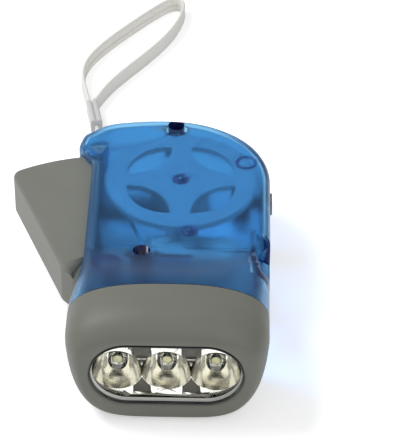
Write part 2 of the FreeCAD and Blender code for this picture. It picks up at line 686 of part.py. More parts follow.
def make_ratchet():
    """Return the ratchet wheel moulded on top of the pinion, with saw teeth."""
    points = []
    for tooth in range(RATCHET_TEETH):
        turn = 360 / RATCHET_TEETH * tooth
        points.append(polar(AXLE, 4.4, turn))
        points.append(polar(AXLE, 5.6, turn + 1.0))
        points.append(polar(AXLE, 5.0, turn + 180 / RATCHET_TEETH))
    wheel = polygon(points, RATCHET_BOTTOM, RATCHET_TOP)
    return wheel.cut(cylinder(AXLE, AXLE_RADIUS + FIT, 0, 40))


def make_drive_gear():
    """Return the large gear: a thin disc with four leaf-shaped windows and a long hub."""
    disc = spur_gear(AXLE, GEAR_TEETH, GEAR_MODULE, SHORT_ADDENDUM, ROTOR_DIRECTION,
                     GEAR_BOTTOM, GEAR_TOP)
    arc = (LEAF_HALF_LENGTH ** 2 + LEAF_HALF_WIDTH ** 2) / (2 * LEAF_HALF_WIDTH)
    for turn in GEAR_LEAVES:
        sides = [cylinder(polar(AXLE, LEAF_MIDDLE + way * (arc - LEAF_HALF_WIDTH), turn), arc,
                          GEAR_BOTTOM - 1, GEAR_TOP + 1) for way in (-1, 1)]
        disc = disc.cut(sides[0].common(sides[1]))
    hub = cylinder(AXLE, 3.0, CARRIER_TOP - 0.2, GEAR_BOTTOM + 0.2)
    gear = fuse([disc, hub])
    return gear.cut(cylinder(AXLE, AXLE_RADIUS + FIT, 0, 40))


def make_pawl_carrier():
    """Return the disc under the gear's hub that carries the two pawls."""
    disc = cylinder(AXLE, CARRIER_RADIUS, RATCHET_TOP + 0.3, CARRIER_TOP - 0.2)
    return disc.cut(cylinder(AXLE, AXLE_RADIUS + FIT, 0, 40))


def make_pawls():
    """Return the two sprung pawls, lifted clear as when the gear runs free."""
    pawls = []
    for turn in (20.0, 200.0):
        arm = band(AXLE, 6.1, 6.9, turn, turn + 70, RATCHET_BOTTOM, RATCHET_TOP + 0.3)
        foot = band(AXLE, 5.9, 7.3, turn + 55, turn + 70, RATCHET_BOTTOM, RATCHET_TOP + 0.3)
        pawls.append(fuse([arm, foot]))
    return Part.Compound(pawls)


def make_rotor_pinion():
    """Return the eight-tooth rotor pinion with the long sleeve that holds the magnet."""
    toward = ROTOR_DIRECTION + 180.0
    pinion = spur_gear(ROTOR, ROTOR_TEETH, GEAR_MODULE, 0.9, toward + 180 / ROTOR_TEETH,
                       GEAR_BOTTOM - 0.1, GEAR_TOP)
    sleeve = cylinder(ROTOR, 1.55, 2.7, GEAR_BOTTOM)
    return fuse([pinion, sleeve]).cut(cylinder(ROTOR, 0.75 + FIT, 0, 40))


def make_magnet():
    """Return the ring magnet on the rotor's sleeve."""
    return ring(ROTOR, 1.55, MAGNET_RADIUS, 3.2, 9.6)


def make_claw_ring():
    """Return the steel claw ring round the magnet, cut into eight fingers."""
    claw = ring(ROTOR, 8.3, 8.9, FLOOR_Z + 0.4, STATOR_TOP - 0.4)
    for finger in range(8):
        x, y = polar(ROTOR, 8.6, 45 * finger + 22.5)
        gap = box(-1.0, 1.0, -0.6, 0.6, 3.2, STATOR_TOP)
        gap.rotate(Vector(0, 0, 0), Vector(0, 0, 1), 45 * finger + 22.5 - 90)
        gap.translate(Vector(x, y, 0))
        claw = claw.cut(gap)
    return claw


def make_bobbin():
    """Return the coil's bobbin: a tube with two flanges."""
    tube = ring(ROTOR, 8.95, 9.5, STATOR_LOW, STATOR_TOP)
    low = ring(ROTOR, 8.95, STATOR_RADIUS, STATOR_LOW, STATOR_LOW + 1.0)
    high = ring(ROTOR, 8.95, STATOR_RADIUS, STATOR_TOP - 1.0, STATOR_TOP)
    return fuse([tube, low, high])


def make_coil():
    """Return the copper winding between the bobbin's flanges."""
    return ring(ROTOR, 9.5, STATOR_RADIUS - 0.3, STATOR_LOW + 1.0, STATOR_TOP - 1.0)


def make_generator_cover():
    """Return the pale moulded cover over the generator, with the sleeve's way through it."""
    outer = box(-5.8, 16.6, -7.4, 3.6, STATOR_TOP, COVER_TOP)
    rims = [e for e in outer.Edges if e.BoundBox.ZLength > 5 or e.BoundBox.ZMin > COVER_TOP - 0.1]
    outer = outer.makeFillet(0.6, rims)
    inner = box(-4.6, 15.4, -6.2, 2.4, STATOR_TOP - 1, COVER_TOP - 1.2)
    return outer.cut(inner).cut(cylinder(ROTOR, 2.0, 0, 40))


def make_screws():
    """Return the two case screws with their cross slots."""
    screws = []
    for spot in (REAR_SCREW, FRONT_SCREW):
        head = cylinder(spot, 2.0, SCREW_SEAT_Z, SCREW_SEAT_Z + 1.5)
        shank = cylinder(spot, 1.1, 7.0, SCREW_SEAT_Z + 0.1)
        screw = fuse([head, shank])
        x, y = spot
        top = SCREW_SEAT_Z + 2
        for half_x, half_y in ((1.3, 0.3), (0.3, 1.3)):
            screw = screw.cut(box(x - half_x, x + half_x, y - half_y, y + half_y,
                                  SCREW_SEAT_Z + 0.8, top))
        screws.append(screw)
    return Part.Compound(screws)


def along_x(radius, x0, x1):
    """Return a cylinder along X on the cells' common axis."""
    return Part.makeCylinder(radius, x1 - x0, Vector(x0, CELL_Y, CELL_Z), Vector(1, 0, 0))


def make_cell(x):
    """Return one lying cell with its raised contact at the right-hand end."""
    half = CELL_LENGTH / 2
    can = along_x(CELL_RADIUS, x - half, x + half)
    rims = [e for e in can.Edges if e.BoundBox.XLength < 0.01]
    can = can.makeFillet(CELL_ROUNDING, rims)
    return fuse([can, along_x(CELL_CONTACT_RADIUS, x, x + half + CELL_CONTACT)])


def make_cell_sleeve():
    """Return the shrunk sleeve round the row of cells, open at both ends."""
    x0 = CELL_X[0] - CELL_PITCH / 2
    x1 = CELL_X[-1] + CELL_PITCH / 2
    inner = CELL_RADIUS + FIT
    return along_x(inner + SLEEVE_THICKNESS, x0, x1).cut(along_x(inner, x0 - 1, x1 + 1))


def make_cell_links():
    """Return the metal tabs at the two ends of the row of cells."""
    left = CELL_X[0] - CELL_LENGTH / 2 - LINK_THICKNESS
    right = CELL_X[-1] + CELL_LENGTH / 2 + CELL_CONTACT
    y0 = CELL_Y - LINK_HALF_WIDTH
    y1 = CELL_Y + LINK_HALF_WIDTH
    tabs = [box(x, x + LINK_THICKNESS, y0, y1, LINK_LOW, LINK_HIGH) for x in (left, right)]
    return Part.Compound(tabs)


def make_charge_board():
    """Return the circuit board on its four feet."""
    x0, x1, y0, y1 = CHARGE_BOARD
    return box(x0, x1, y0, y1, 3.0, 4.2)


def make_capacitor():
    """Return the smoothing capacitor that stands on the board."""
    can = cylinder((7.6, -21.4), 2.5, 4.2, 10.4)
    rim = [e for e in can.Edges if e.BoundBox.ZLength < 0.01 and e.BoundBox.ZMin > 9]
    return can.makeFillet(0.4, rim)


def make_diodes():
    """Return the four rectifier diodes lying on the board."""
    diodes = []
    for index in range(4):
        x = -8.2 + 3.1 * index
        diodes.append(lying((x, 5.1), 0.9, -23.6, -19.4))
    return Part.Compound(diodes)


def make_switch_body():
    """Return the slide switch's case on its post."""
    body = box(15.6, 20.6, 17.6, 26.4, 12.6, 19.4)
    rims = [e for e in body.Edges if e.BoundBox.ZLength > 5]
    return body.makeFillet(0.4, rims)


def make_switch_knob():
    """Return the slide switch's ribbed knob, which stands out of the slot in the case."""
    inside = box(20.7, 24.0, 20.2, 24.0, 15.4, 17.6)
    outside = box(23.2, 26.5, 19.2, 25.2, 15.0, 18.0)
    knob = fuse([inside, outside])
    for rib in range(3):
        y = 20.6 + 1.4 * rib
        knob = knob.cut(box(26.2, 27.0, y, y + 0.5, 14.0, 19.0))
    return knob


def make_lock_slider():
    """Return the lever lock's slider in the notch at the neck."""
    bar = box(22.6, 24.2, -17.6, -10.2, 11.8, 17.2)
    rims = [e for e in bar.Edges if e.BoundBox.ZMin > 17.1]
    return bar.makeFillet(0.35, rims)


def make_pin(centre, radius, low, high):
    """Return a plain steel pin with chamfered ends."""
    pin = cylinder(centre, radius, low, high)
    rims = [e for e in pin.Edges if e.BoundBox.ZLength < 0.01]
    return pin.makeChamfer(0.2, rims)


def rounded_path(points):
    """Return the wire of straight runs and tangent arcs along a route, and its arc radii."""
    edges = []
    radii = []
    last = points[0]
    for before, corner, after in zip(points, points[1:], points[2:]):
        back = before - corner
        ahead = after - corner
        half = back.getAngle(ahead) / 2
        reach = 0.45 * min(back.Length, ahead.Length)
        start = corner + Vector(back).normalize() * reach
        end = corner + Vector(ahead).normalize() * reach
        inward = (Vector(back).normalize() + Vector(ahead).normalize()).normalize()
        depth = reach / math.cos(half) - reach * math.tan(half)
        radii.append(reach * math.tan(half))
        edges.append(Part.LineSegment(last, start).toShape())
        edges.append(Part.Arc(start, corner + inward * depth, end).toShape())
        last = end
    edges.append(Part.LineSegment(last, points[-1]).toShape())
    return Part.Wire(edges), radii


def swept(name, points, profile, area):
    """Return a profile swept along a rounded route, and print what it measures."""
    path, radii = rounded_path(points)
    shell = Part.BRepOffsetAPI.MakePipeShell(path)
    ahead = (points[1] - points[0]).normalize()
    if profile == "tape":
        shell.setBiNormalMode(Vector(0, 0, 1))
        side = Vector(0, 0, 1).cross(ahead) * (TAPE_THICKNESS / 2)
        up = Vector(0, 0, TAPE_WIDTH / 2)
        corners = [points[0] + side + up, points[0] - side + up, points[0] - side - up,
                   points[0] + side - up]
        section = Part.makePolygon(corners + corners[:1])
    else:
        shell.setFrenetMode(False)
        section = Part.Wire(Part.makeCircle(profile, points[0], ahead))
    shell.add(section, False, False)
    shell.build()
    shell.makeSolid()
    solid = shell.shape()
    print(name, "length", round(path.Length, 1), "least radius", round(min(radii), 2),
          "volume ratio", round(solid.Volume / (area * path.Length), 3), solid.isValid())
    return solid


def make_strap():
    """Return the strap's string, knot, ferrule and braided loop."""
    string_points = [Vector(*p) for p in STRING_ROUTE]
    string = swept("strap_string", string_points, STRING_RADIUS, math.pi * STRING_RADIUS ** 2)
    knot = Part.makeSphere(1.6, string_points[0]).cut(string)
    tape_points = [Vector(x, y, TAPE_Z) for x, y in TAPE_ROUTE]
    tape = swept("strap_loop", tape_points, "tape", TAPE_WIDTH * TAPE_THICKNESS)
    start = Vector(*FERRULE_START, 0)
    along = Vector(*FERRULE_END, 0) - start
    ferrule = Part.makeBox(along.Length, 3.4, TAPE_WIDTH, Vector(0, -1.7, 0.1))
    ferrule = ferrule.makeFillet(1.2, [e for e in ferrule.Edges if e.BoundBox.XLength > 5])
    ferrule.rotate(Vector(0, 0, 0), Vector(0, 0, 1), math.degrees(math.atan2(along.y, along.x)))
    ferrule.translate(start)
    return string.cut(ferrule), knot, ferrule, tape.cut(ferrule)


def make_wires():
    """Return the red and black leads from the cells to the board, clipped along the floor."""
    red = [(9.8, 31.8, 4.2), (15.0, 31.4, 2.8), (20.6, 27.6, 2.6), (22.4, 20.0, 2.6), (22.2, 10.0, 2.6),
           (21.6, 0.0, 2.6), (19.4, -8.0, 2.6), (16.4, -14.0, 3.0), (12.4, -18.4, 3.6)]
    black = [(-16.6, 31.8, 4.2), (-18.6, 28.4, 2.8), (-19.4, 22.0, 2.6), (-19.8, 14.0, 2.6),
             (-19.4, 4.0, 2.6), (-17.0, -4.0, 2.6), (-13.6, -8.6, 2.6), (-12.2, -13.0, 3.0),
             (-11.0, -17.6, 3.6)]
    wires = []
    for name, route in (("wire_red", red), ("wire_black", black)):
        wires.append(swept(name, [Vector(*p) for p in route], 0.5, math.pi * 0.25))
    return wires


def build():
    """Return every piece of the torch by its node's name."""
    upper, lower = make_case()
    string, knot, ferrule, tape = make_strap()
    red, black = make_wires()
    pieces = {
        "upper_case": upper,
        "lower_case": lower,
        "head_bezel": make_head(),
        "front_lens": make_lens(),
        "lens_seal": make_lens_seal(),
        "reflector": make_reflector(),
        "led_board": make_led_board(),
        "squeeze_lever": make_lever(),
        "lever_spring": make_lever_spring(),
        "lever_pin": make_pin(PIVOT, PIN_RADIUS, 1.2, CEILING_Z + 0.4),
        "main_axle": make_pin(AXLE, AXLE_RADIUS, 1.2, CEILING_Z + 0.5),
        "rotor_axle": make_pin(ROTOR, 0.75, 1.2, CEILING_Z + 0.5),
        "drive_pinion": make_drive_pinion(),
        "ratchet_wheel": make_ratchet(),
        "drive_gear": make_drive_gear(),
        "pawl_carrier": make_pawl_carrier(),
        "clutch_pawls": make_pawls(),
        "rotor_pinion": make_rotor_pinion(),
        "ring_magnet": make_magnet(),
        "claw_ring": make_claw_ring(),
        "coil_bobbin": make_bobbin(),
        "generator_coil": make_coil(),
        "generator_cover": make_generator_cover(),
        "case_screws": make_screws(),
        "cell_links": make_cell_links(),
        "cell_sleeve": make_cell_sleeve(),
        "charge_board": make_charge_board(),
        "capacitor": make_capacitor(),
        "rectifier_diodes": make_diodes(),
        "switch_body": make_switch_body(),
        "switch_knob": make_switch_knob(),
        "lock_slider": make_lock_slider(),
        "wire_red": red,
        "wire_black": black,
        "strap_string": string,
        "strap_knot": knot,
        "strap_ferrule": ferrule,
        "strap_loop": tape,
    }
    for index, x in enumerate(CUP_X):
        pieces[f"led_{index + 1}"] = make_led(x)
    for index, x in enumerate(CELL_X):
        pieces[f"cell_{index + 1}"] = make_cell(x)
    return pieces


if __name__ == "__main__":
    os.makedirs("parts", exist_ok=True)
    print("main axle", AXLE, "rotor axle", ROTOR)
    for name, shape in build().items():
        if not shape.isValid() or not shape.Solids:
            print("check", name, shape.isValid(), len(shape.Solids))
        shape.exportStep(f"parts/{name}.step")
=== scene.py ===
"""Looks of a squeeze-lever dynamo torch: clear blue case, grey lamp head and lever, braided strap.

Every length is in millimetres here and is turned into metres where a mesh is made.
"""
from __future__ import annotations

import logging
import math
from dataclasses import dataclass, field
from enum import Enum
from typing import Any, Sequence

import bmesh
import bpy
import numpy as np
from mathutils import Matrix, Vector

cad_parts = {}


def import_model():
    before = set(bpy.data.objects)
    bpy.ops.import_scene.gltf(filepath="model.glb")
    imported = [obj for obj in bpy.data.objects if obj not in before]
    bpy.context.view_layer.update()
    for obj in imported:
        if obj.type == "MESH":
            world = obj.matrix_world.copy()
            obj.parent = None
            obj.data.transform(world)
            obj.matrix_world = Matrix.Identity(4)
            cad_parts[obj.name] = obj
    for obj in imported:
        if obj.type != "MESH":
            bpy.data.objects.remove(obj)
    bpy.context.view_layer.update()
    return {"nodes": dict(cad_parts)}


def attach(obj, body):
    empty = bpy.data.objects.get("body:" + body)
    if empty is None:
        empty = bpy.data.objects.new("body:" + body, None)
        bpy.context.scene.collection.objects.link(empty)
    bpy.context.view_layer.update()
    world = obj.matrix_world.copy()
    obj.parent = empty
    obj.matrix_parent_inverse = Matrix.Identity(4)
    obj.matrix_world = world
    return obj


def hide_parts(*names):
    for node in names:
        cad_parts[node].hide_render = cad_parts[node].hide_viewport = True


MM = 0.001
UPWARD = (0.0, 0.0, 1.0)
Colour = tuple[float, float, float]
Array = np.ndarray
log = logging.getLogger("torch")


class Body(Enum):
    """The moving bodies that a piece can ride on."""

    CASE = "case"
    LEVER = "lever"
    DRIVE = "drive"
    GEAR = "gear"
    ROTOR = "rotor"
    SWITCH = "switch"
    LOCK = "lock"


class Value:
    """A shader number that takes part in Python arithmetic by adding Math nodes."""

    def __init__(self, shader: Shader, socket: bpy.types.NodeSocket) -> None:
        """Wrap a number socket of a shader."""
        self.shader = shader
        self.socket = socket

    def _maths(self, operation: str, *terms: Any) -> Value:
        """Return the result of one Math node on the given terms."""
        made = self.shader.node("ShaderNodeMath", {"operation": operation}, dict(enumerate(terms)))
        return Value(self.shader, made.outputs[0])

    def __add__(self, other: Any) -> Value:
        """Return self + other."""
        return self._maths("ADD", self, other)

    def __radd__(self, other: Any) -> Value:
        """Return other + self."""
        return self._maths("ADD", other, self)

    def __sub__(self, other: Any) -> Value:
        """Return self - other."""
        return self._maths("SUBTRACT", self, other)

    def __rsub__(self, other: Any) -> Value:
        """Return other - self."""
        return self._maths("SUBTRACT", other, self)

    def __mul__(self, other: Any) -> Value:
        """Return self * other."""
        return self._maths("MULTIPLY", self, other)

    def __rmul__(self, other: Any) -> Value:
        """Return other * self."""
        return self._maths("MULTIPLY", other, self)

    def __pow__(self, other: Any) -> Value:
        """Return self to the power of other."""
        return self._maths("POWER", self, other)

    def sine(self) -> Value:
        """Return the sine of the value."""
        return self._maths("SINE", self)

    def absolute(self) -> Value:
        """Return the value without its sign."""
        return self._maths("ABSOLUTE", self)

    def at_least(self, least: Any) -> Value:
        """Return the larger of the value and a limit."""
        return self._maths("MAXIMUM", self, least)

    def above(self, edge: Any) -> Value:
        """Return 1 where the value is over an edge, and 0 elsewhere."""
        return self._maths("GREATER_THAN", self, edge)


class Shader:
    """One material's node tree."""

    def __init__(self, name: str) -> None:
        """Start an empty material of that name."""
        self.material = bpy.data.materials.new(name)
        self.material.use_nodes = True
        self.material.node_tree.nodes.clear()

    def node(self, kind: str, settings: dict[str, Any] | None = None,
             inputs: dict[Any, Any] | None = None) -> bpy.types.Node:
        """Add one node.

        Args:
            kind: the node's type name.
            settings: attributes of the node, set first.
            inputs: values or links of its sockets, by name or number.

        Returns:
            The new node.
        """
        made = self.material.node_tree.nodes.new(kind)
        for key, value in (settings or {}).items():
            setattr(made, key, value)
        for key, value in (inputs or {}).items():
            socket = made.inputs[key]
            if isinstance(value, Value):
                self.material.node_tree.links.new(value.socket, socket)
            elif isinstance(value, bpy.types.NodeSocket):
                self.material.node_tree.links.new(value, socket)
            elif isinstance(value, tuple) and len(value) == 3 and socket.type == "RGBA":
                socket.default_value = (*value, 1.0)
            else:
                socket.default_value = value
        return made

    def value(self, socket: bpy.types.NodeSocket) -> Value:
        """Return a socket as a value for arithmetic."""
        return Value(self, socket)

    def place(self, scale: Sequence[float] = (1.0, 1.0, 1.0)) -> bpy.types.NodeSocket:
        """Return the piece's own coordinates, in metres, times a scale."""
        where = self.node("ShaderNodeTexCoord").outputs["Object"]
        mapped = self.node("ShaderNodeMapping", None, {"Vector": where, "Scale": tuple(scale)})
        return mapped.outputs["Vector"]

    def noise(self, per_mm: float, detail: float = 3.0, stretch: Sequence[float] = (1, 1, 1)) -> Value:
        """Return a noise value of 0 to 1 whose features are about 1 / per_mm millimetres."""
        scale = [per_mm * 1000.0 * s for s in stretch]
        made = self.node("ShaderNodeTexNoise", None,
                         {"Vector": self.place(scale), "Scale": 1.0, "Detail": detail})
        return self.value(made.outputs["Fac"])

    def blend(self, amount: Any, low: Any, high: Any) -> bpy.types.NodeSocket:
        """Return a colour between low (0) and high (1)."""
        mix = self.node("ShaderNodeMix", {"data_type": "RGBA"}, {0: amount})
        for number, colour in ((6, low), (7, high)):
            if isinstance(colour, tuple):
                mix.inputs[number].default_value = (*colour, 1.0)
            else:
                self.material.node_tree.links.new(colour, mix.inputs[number])
        return mix.outputs[2]

    def bump(self, height: Any, depth_mm: float, strength: float = 1.0) -> bpy.types.NodeSocket:
        """Return a normal tilted by a height of 0 to 1 over a depth in millimetres."""
        made = self.node("ShaderNodeBump", None,
                         {"Height": height, "Distance": depth_mm * MM, "Strength": strength})
        return made.outputs["Normal"]

    def surface(self, inputs: dict[Any, Any]) -> bpy.types.NodeSocket:
        """Return a Principled surface with the given sockets."""
        return self.node("ShaderNodeBsdfPrincipled", None, inputs).outputs["BSDF"]

    def finish(self, surface: bpy.types.NodeSocket) -> bpy.types.Material:
        """Connect the surface to the output and return the material."""
        self.node("ShaderNodeOutputMaterial", None, {"Surface": surface})
        return self.material


@dataclass(frozen=True)
class ClearPlastic:
    """A see-through tinted moulding with a slightly rough surface, so that what lies behind it blurs."""

    name: str
    tint: Colour
    body: Colour
    haze: float
    edge: float
    roughness: float = 0.3
    index: float = 1.2
    shade: Colour = (0.5, 0.7, 0.9)

    def material(self) -> bpy.types.Material:
        """Return the material: rough glass with a milky share, and a tinted clear shadow."""
        shader = Shader(self.name)
        cloud = shader.noise(0.09, 2.0)
        skin = shader.noise(1.3, 2.0)
        glance = shader.node("ShaderNodeLayerWeight", None, {"Blend": 0.35}).outputs["Facing"]
        facing = shader.value(glance)
        amount = self.haze * (0.8 + 0.4 * cloud) + (self.edge * facing ** 3.0)
        rough = self.roughness + 0.04 * skin
        wave = shader.bump(skin, 0.01, 0.5)
        glass = shader.surface({
            "Base Color": self.tint, "Roughness": rough, "IOR": self.index, "Transmission Weight": 1.0,
            "Specular IOR Level": 0.5, "Normal": wave,
        })
        milk = shader.surface({
            "Base Color": shader.blend(cloud, tuple(c * 0.85 for c in self.body), self.body),
            "Roughness": 0.2 + 0.05 * skin, "Specular IOR Level": 0.6, "Normal": wave,
        })
        moulding = shader.node("ShaderNodeMixShader", None, {0: amount, 1: glass, 2: milk})
        clear = shader.node("ShaderNodeBsdfTransparent", None, {"Color": self.shade}).outputs[0]
        ray = shader.node("ShaderNodeLightPath").outputs["Is Shadow Ray"]
        mixed = shader.node("ShaderNodeMixShader", None, {0: ray, 1: moulding.outputs[0], 2: clear})
        return shader.finish(mixed.outputs[0])


@dataclass(frozen=True)
class Glazing:
    """A clear lens or lamp body: glass that lets lamp light straight through."""

    name: str
    tint: Colour
    index: float = 1.05
    roughness: float = 0.02

    def material(self) -> bpy.types.Material:
        """Return the material: smooth glass, and tinted clear for shadow rays."""
        shader = Shader(self.name)
        ripple = shader.noise(0.8, 2.0)
        glass = shader.surface({
            "Base Color": self.tint, "Roughness": self.roughness + 0.01 * ripple, "IOR": self.index,
            "Transmission Weight": 1.0, "Normal": shader.bump(ripple, 0.004, 0.3),
        })
        clear = shader.node("ShaderNodeBsdfTransparent", None, {"Color": self.tint}).outputs[0]
        ray = shader.node("ShaderNodeLightPath").outputs["Is Shadow Ray"]
        mixed = shader.node("ShaderNodeMixShader", None, {0: ray, 1: glass, 2: clear})
        return shader.finish(mixed.outputs[0])


@dataclass(frozen=True)
class LensPlate(Glazing):
    """A clear round-ended plate, centred on x = 0, whose rim is plain white, a painted highlight of the
    lens edge.
    """

    # Painted highlight: the rim's plain white stands in for the bright edge of the lens.
    rim: Colour = (0.9, 0.9, 0.87)
    centre_z: float = 15.6
    straight: float = 9.7
    clear_radius: float = 9.0

    def material(self) -> bpy.types.Material:
        """Return the material: glass inside, and beyond a distance from the straight middle a white rim
        that is a painted highlight of the lens edge.

        The distance is the square root of (|x| - straight, not below 0) squared plus z squared.
        """
        shader = Shader(self.name)
        parts = shader.node("ShaderNodeSeparateXYZ", None, {0: shader.place((1000.0, 1000.0, 1000.0))})
        across = (shader.value(parts.outputs["X"]).absolute() - self.straight).at_least(0.0)
        up = (shader.value(parts.outputs["Z"]) - self.centre_z).absolute()
        far = (across ** 2.0 + up ** 2.0) ** 0.5
        glass = shader.surface({
            "Base Color": self.tint, "Roughness": self.roughness, "IOR": self.index,
            "Transmission Weight": 1.0,
        })
        clear = shader.node("ShaderNodeBsdfTransparent", None, {"Color": self.tint}).outputs[0]
        ray = shader.node("ShaderNodeLightPath").outputs["Is Shadow Ray"]
        pane = shader.node("ShaderNodeMixShader", None, {0: ray, 1: glass, 2: clear}).outputs[0]
        # The white rim is a painted highlight of the lens edge.
        rim_highlight = shader.surface({"Base Color": self.rim, "Roughness": 0.5})
        in_rim_highlight = far.above(self.clear_radius)
        mixed = shader.node("ShaderNodeMixShader", None, {0: in_rim_highlight, 1: pane, 2: rim_highlight})
        return shader.finish(mixed.outputs[0])


@dataclass(frozen=True)
class MouldedPlastic:
    """An opaque injection moulding with a fine satin grain and faint mottling."""

    name: str
    colour: Colour
    roughness: float = 0.42
    grain: float = 0.02
    sheen: float = 0.5
    mottle: float = 0.06

    def material(self) -> bpy.types.Material:
        """Return the material: mottled colour, grained normal and uneven roughness."""
        shader = Shader(self.name)
        patch = shader.noise(0.12, 3.0)
        fine = shader.noise(4.0, 2.0)
        dark = tuple(c * (1 - self.mottle) for c in self.colour)
        light = tuple(min(1.0, c * (1 + self.mottle)) for c in self.colour)
        return shader.finish(shader.surface({
            "Base Color": shader.blend(patch, dark, light),
            "Roughness": self.roughness - 0.05 + 0.1 * fine,
            "Specular IOR Level": self.sheen,
            "Normal": shader.bump(fine, self.grain, 0.6),
        }))


@dataclass(frozen=True)
class Metal:
    """A metal whose roughness varies in faint streaks along one axis."""

    name: str
    colour: Colour
    roughness: float = 0.25
    stretch: tuple[float, float, float] = (1.0, 1.0, 0.1)
    streak: float = 0.01

    def material(self) -> bpy.types.Material:
        """Return the material: metallic with streaked roughness and normal."""
        shader = Shader(self.name)
        lines = shader.noise(5.0, 2.0, self.stretch)
        return shader.finish(shader.surface({
            "Base Color": shader.blend(lines, tuple(c * 0.9 for c in self.colour), self.colour),
            "Metallic": 1.0,
            "Roughness": self.roughness * 0.7 + self.roughness * 0.6 * lines,
            "Normal": shader.bump(lines, self.streak, 0.4),
        }))


@dataclass(frozen=True)
class Braid:
    """A woven cotton or nylon surface that follows the piece's own map, in millimetres."""

    name: str
    colour: Colour
    along: float
    across: float
    shadow: float = 0.86

    def material(self) -> bpy.types.Material:
        """Return the material: crossing sines of the map give the yarns their light and shade."""
        shader = Shader(self.name)
        where = shader.node("ShaderNodeUVMap", {"uv_map": "yarn"}).outputs["UV"]
        parts = shader.node("ShaderNodeSeparateXYZ", None, {0: where})
        u = shader.value(parts.outputs["X"])
        v = shader.value(parts.outputs["Y"])
        one = (u * self.along + v * self.across).sine()
        two = (u * self.along - v * self.across).sine()
        yarn = 0.5 + 0.5 * (one * two)
        fuzz = shader.noise(3.0, 3.0)
        shade = 0.75 * yarn + 0.25 * fuzz
        return shader.finish(shader.surface({
            "Base Color": shader.blend(shade, tuple(c * self.shadow for c in self.colour), self.colour),
            "Roughness": 0.85 + 0.1 * fuzz,
            "Specular IOR Level": 0.25,
            "Sheen Weight": 0.2,
            "Normal": shader.bump(shade, 0.12, 0.8),
        }))


class Finish(Enum):
    """Every finish on the torch."""

    CLEAR_BLUE = ClearPlastic("clear_blue_plastic", (0.21, 0.53, 0.80), (0.05, 0.13, 0.32), 0.13, 0.45)
    # Painted shade: a dark navy that stands in for the shade in the case's deep recesses and along its
    # front seam over the bezel.
    PAINTED_SHADE_BLUE = MouldedPlastic("painted_shade_blue", (0.012, 0.02, 0.10), 0.2, 0.01, 0.6)
    VIOLET = ClearPlastic("violet_edge_plastic", (0.14, 0.20, 0.55), (0.05, 0.06, 0.25), 0.45, 0.45)
    CLEAR_LENS = LensPlate("clear_lens", (0.97, 0.98, 0.97))
    EPOXY = Glazing("clear_epoxy", (0.96, 0.95, 0.88), 1.5, 0.04)
    GREY = MouldedPlastic("grey_moulding", (0.181, 0.188, 0.160), 0.5, 0.02, 0.35)
    GREY_LEVER = MouldedPlastic("grey_lever", (0.205, 0.21, 0.185), 0.5, 0.02, 0.35)
    WHITE_NYLON = MouldedPlastic("white_nylon", (0.82, 0.83, 0.80), 0.45)
    PALE = MouldedPlastic("pale_cover", (0.80, 0.82, 0.76), 0.5)
    BLACK = MouldedPlastic("black_moulding", (0.02, 0.02, 0.022), 0.4)
    MAGNET = MouldedPlastic("sintered_magnet", (0.05, 0.05, 0.055), 0.6)
    SLEEVE = MouldedPlastic("shrunk_sleeve", (0.012, 0.02, 0.03), 0.35)
    BOARD = MouldedPlastic("green_board", (0.03, 0.16, 0.07), 0.35)
    WHITE_BOARD = MouldedPlastic("white_board", (0.7, 0.7, 0.68), 0.5)
    RED = MouldedPlastic("red_insulation", (0.5, 0.03, 0.02), 0.4)
    STEEL = Metal("bright_steel", (0.62, 0.62, 0.62))
    NICKEL = Metal("nickel_strip", (0.66, 0.64, 0.58), 0.3)
    COPPER = Metal("copper_winding", (0.55, 0.24, 0.11), 0.3, (0.05, 0.05, 1.0), 0.06)
    MIRROR = Metal("vacuum_metallised", (0.84, 0.82, 0.76), 0.13, (0.15, 0.15, 0.15), 0.02)
    # Painted shade: a near-black brown for the floors of the wells between the reflector bowls.
    PAINTED_WELL_SHADE = MouldedPlastic("shaded_well", (0.075, 0.068, 0.058), 0.6)
    PHOSPHOR = MouldedPlastic("lamp_phosphor", (0.78, 0.75, 0.48), 0.5)
    FERRULE = MouldedPlastic("grey_ferrule", (0.66, 0.66, 0.66), 0.4)
    TAPE = Braid("braided_tape", (0.95, 0.94, 0.895), 2.6, 4.2)
    STRING = Braid("twisted_string", (0.90, 0.89, 0.84), 3.0, 3.0)


class Wardrobe:
    """Makes each finish's material once and hands it out."""

    def __init__(self) -> None:
        """Start with no materials."""
        self.made: dict[Finish, bpy.types.Material] = {}

    def material(self, finish: Finish) -> bpy.types.Material:
        """Return the material of a finish."""
        if finish not in self.made:
            self.made[finish] = finish.value.material()
        return self.made[finish]

    def dress(self, piece: bpy.types.Object, finish: Finish) -> None:
        """Give a piece one finish."""
        piece.data.materials.clear()
        piece.data.materials.append(self.material(finish))


def mesh_object(name: str, points: Array, faces: list[Sequence[int]]) -> bpy.types.Object:
    """Make a mesh object from points in millimetres.

    Args:
        name: the piece's name.
        points: an array of n x 3 coordinates.
        faces: corner numbers of each face.

    Returns:
        The linked object, at the origin.
    """
    mesh = bpy.data.meshes.new(name)
    mesh.from_pydata((points * MM).tolist(), [], [list(map(int, f)) for f in faces])
    mesh.update()
    piece = bpy.data.objects.new(name, mesh)
    bpy.context.scene.collection.objects.link(piece)
    return piece


def grid_faces(rows: int, columns: int, wrap_rows: bool, wrap_columns: bool) -> Array:
    """Return the quads of a grid of rows x columns points, row by row.

    Args:
        rows: the number of rows.
        columns: the number of points in a row.
        wrap_rows: whether the last row joins the first.
        wrap_columns: whether each row closes on itself.

    Returns:
        An array of quads.
    """
    i = np.arange(rows if wrap_rows else rows - 1)
    j = np.arange(columns if wrap_columns else columns - 1)
    i, j = np.meshgrid(i, j, indexing="ij")
    i2 = (i + 1) % rows
    j2 = (j + 1) % columns
    quads = np.stack([i * columns + j, i * columns + j2, i2 * columns + j2, i2 * columns + j], -1)
    return quads.reshape(-1, 4)


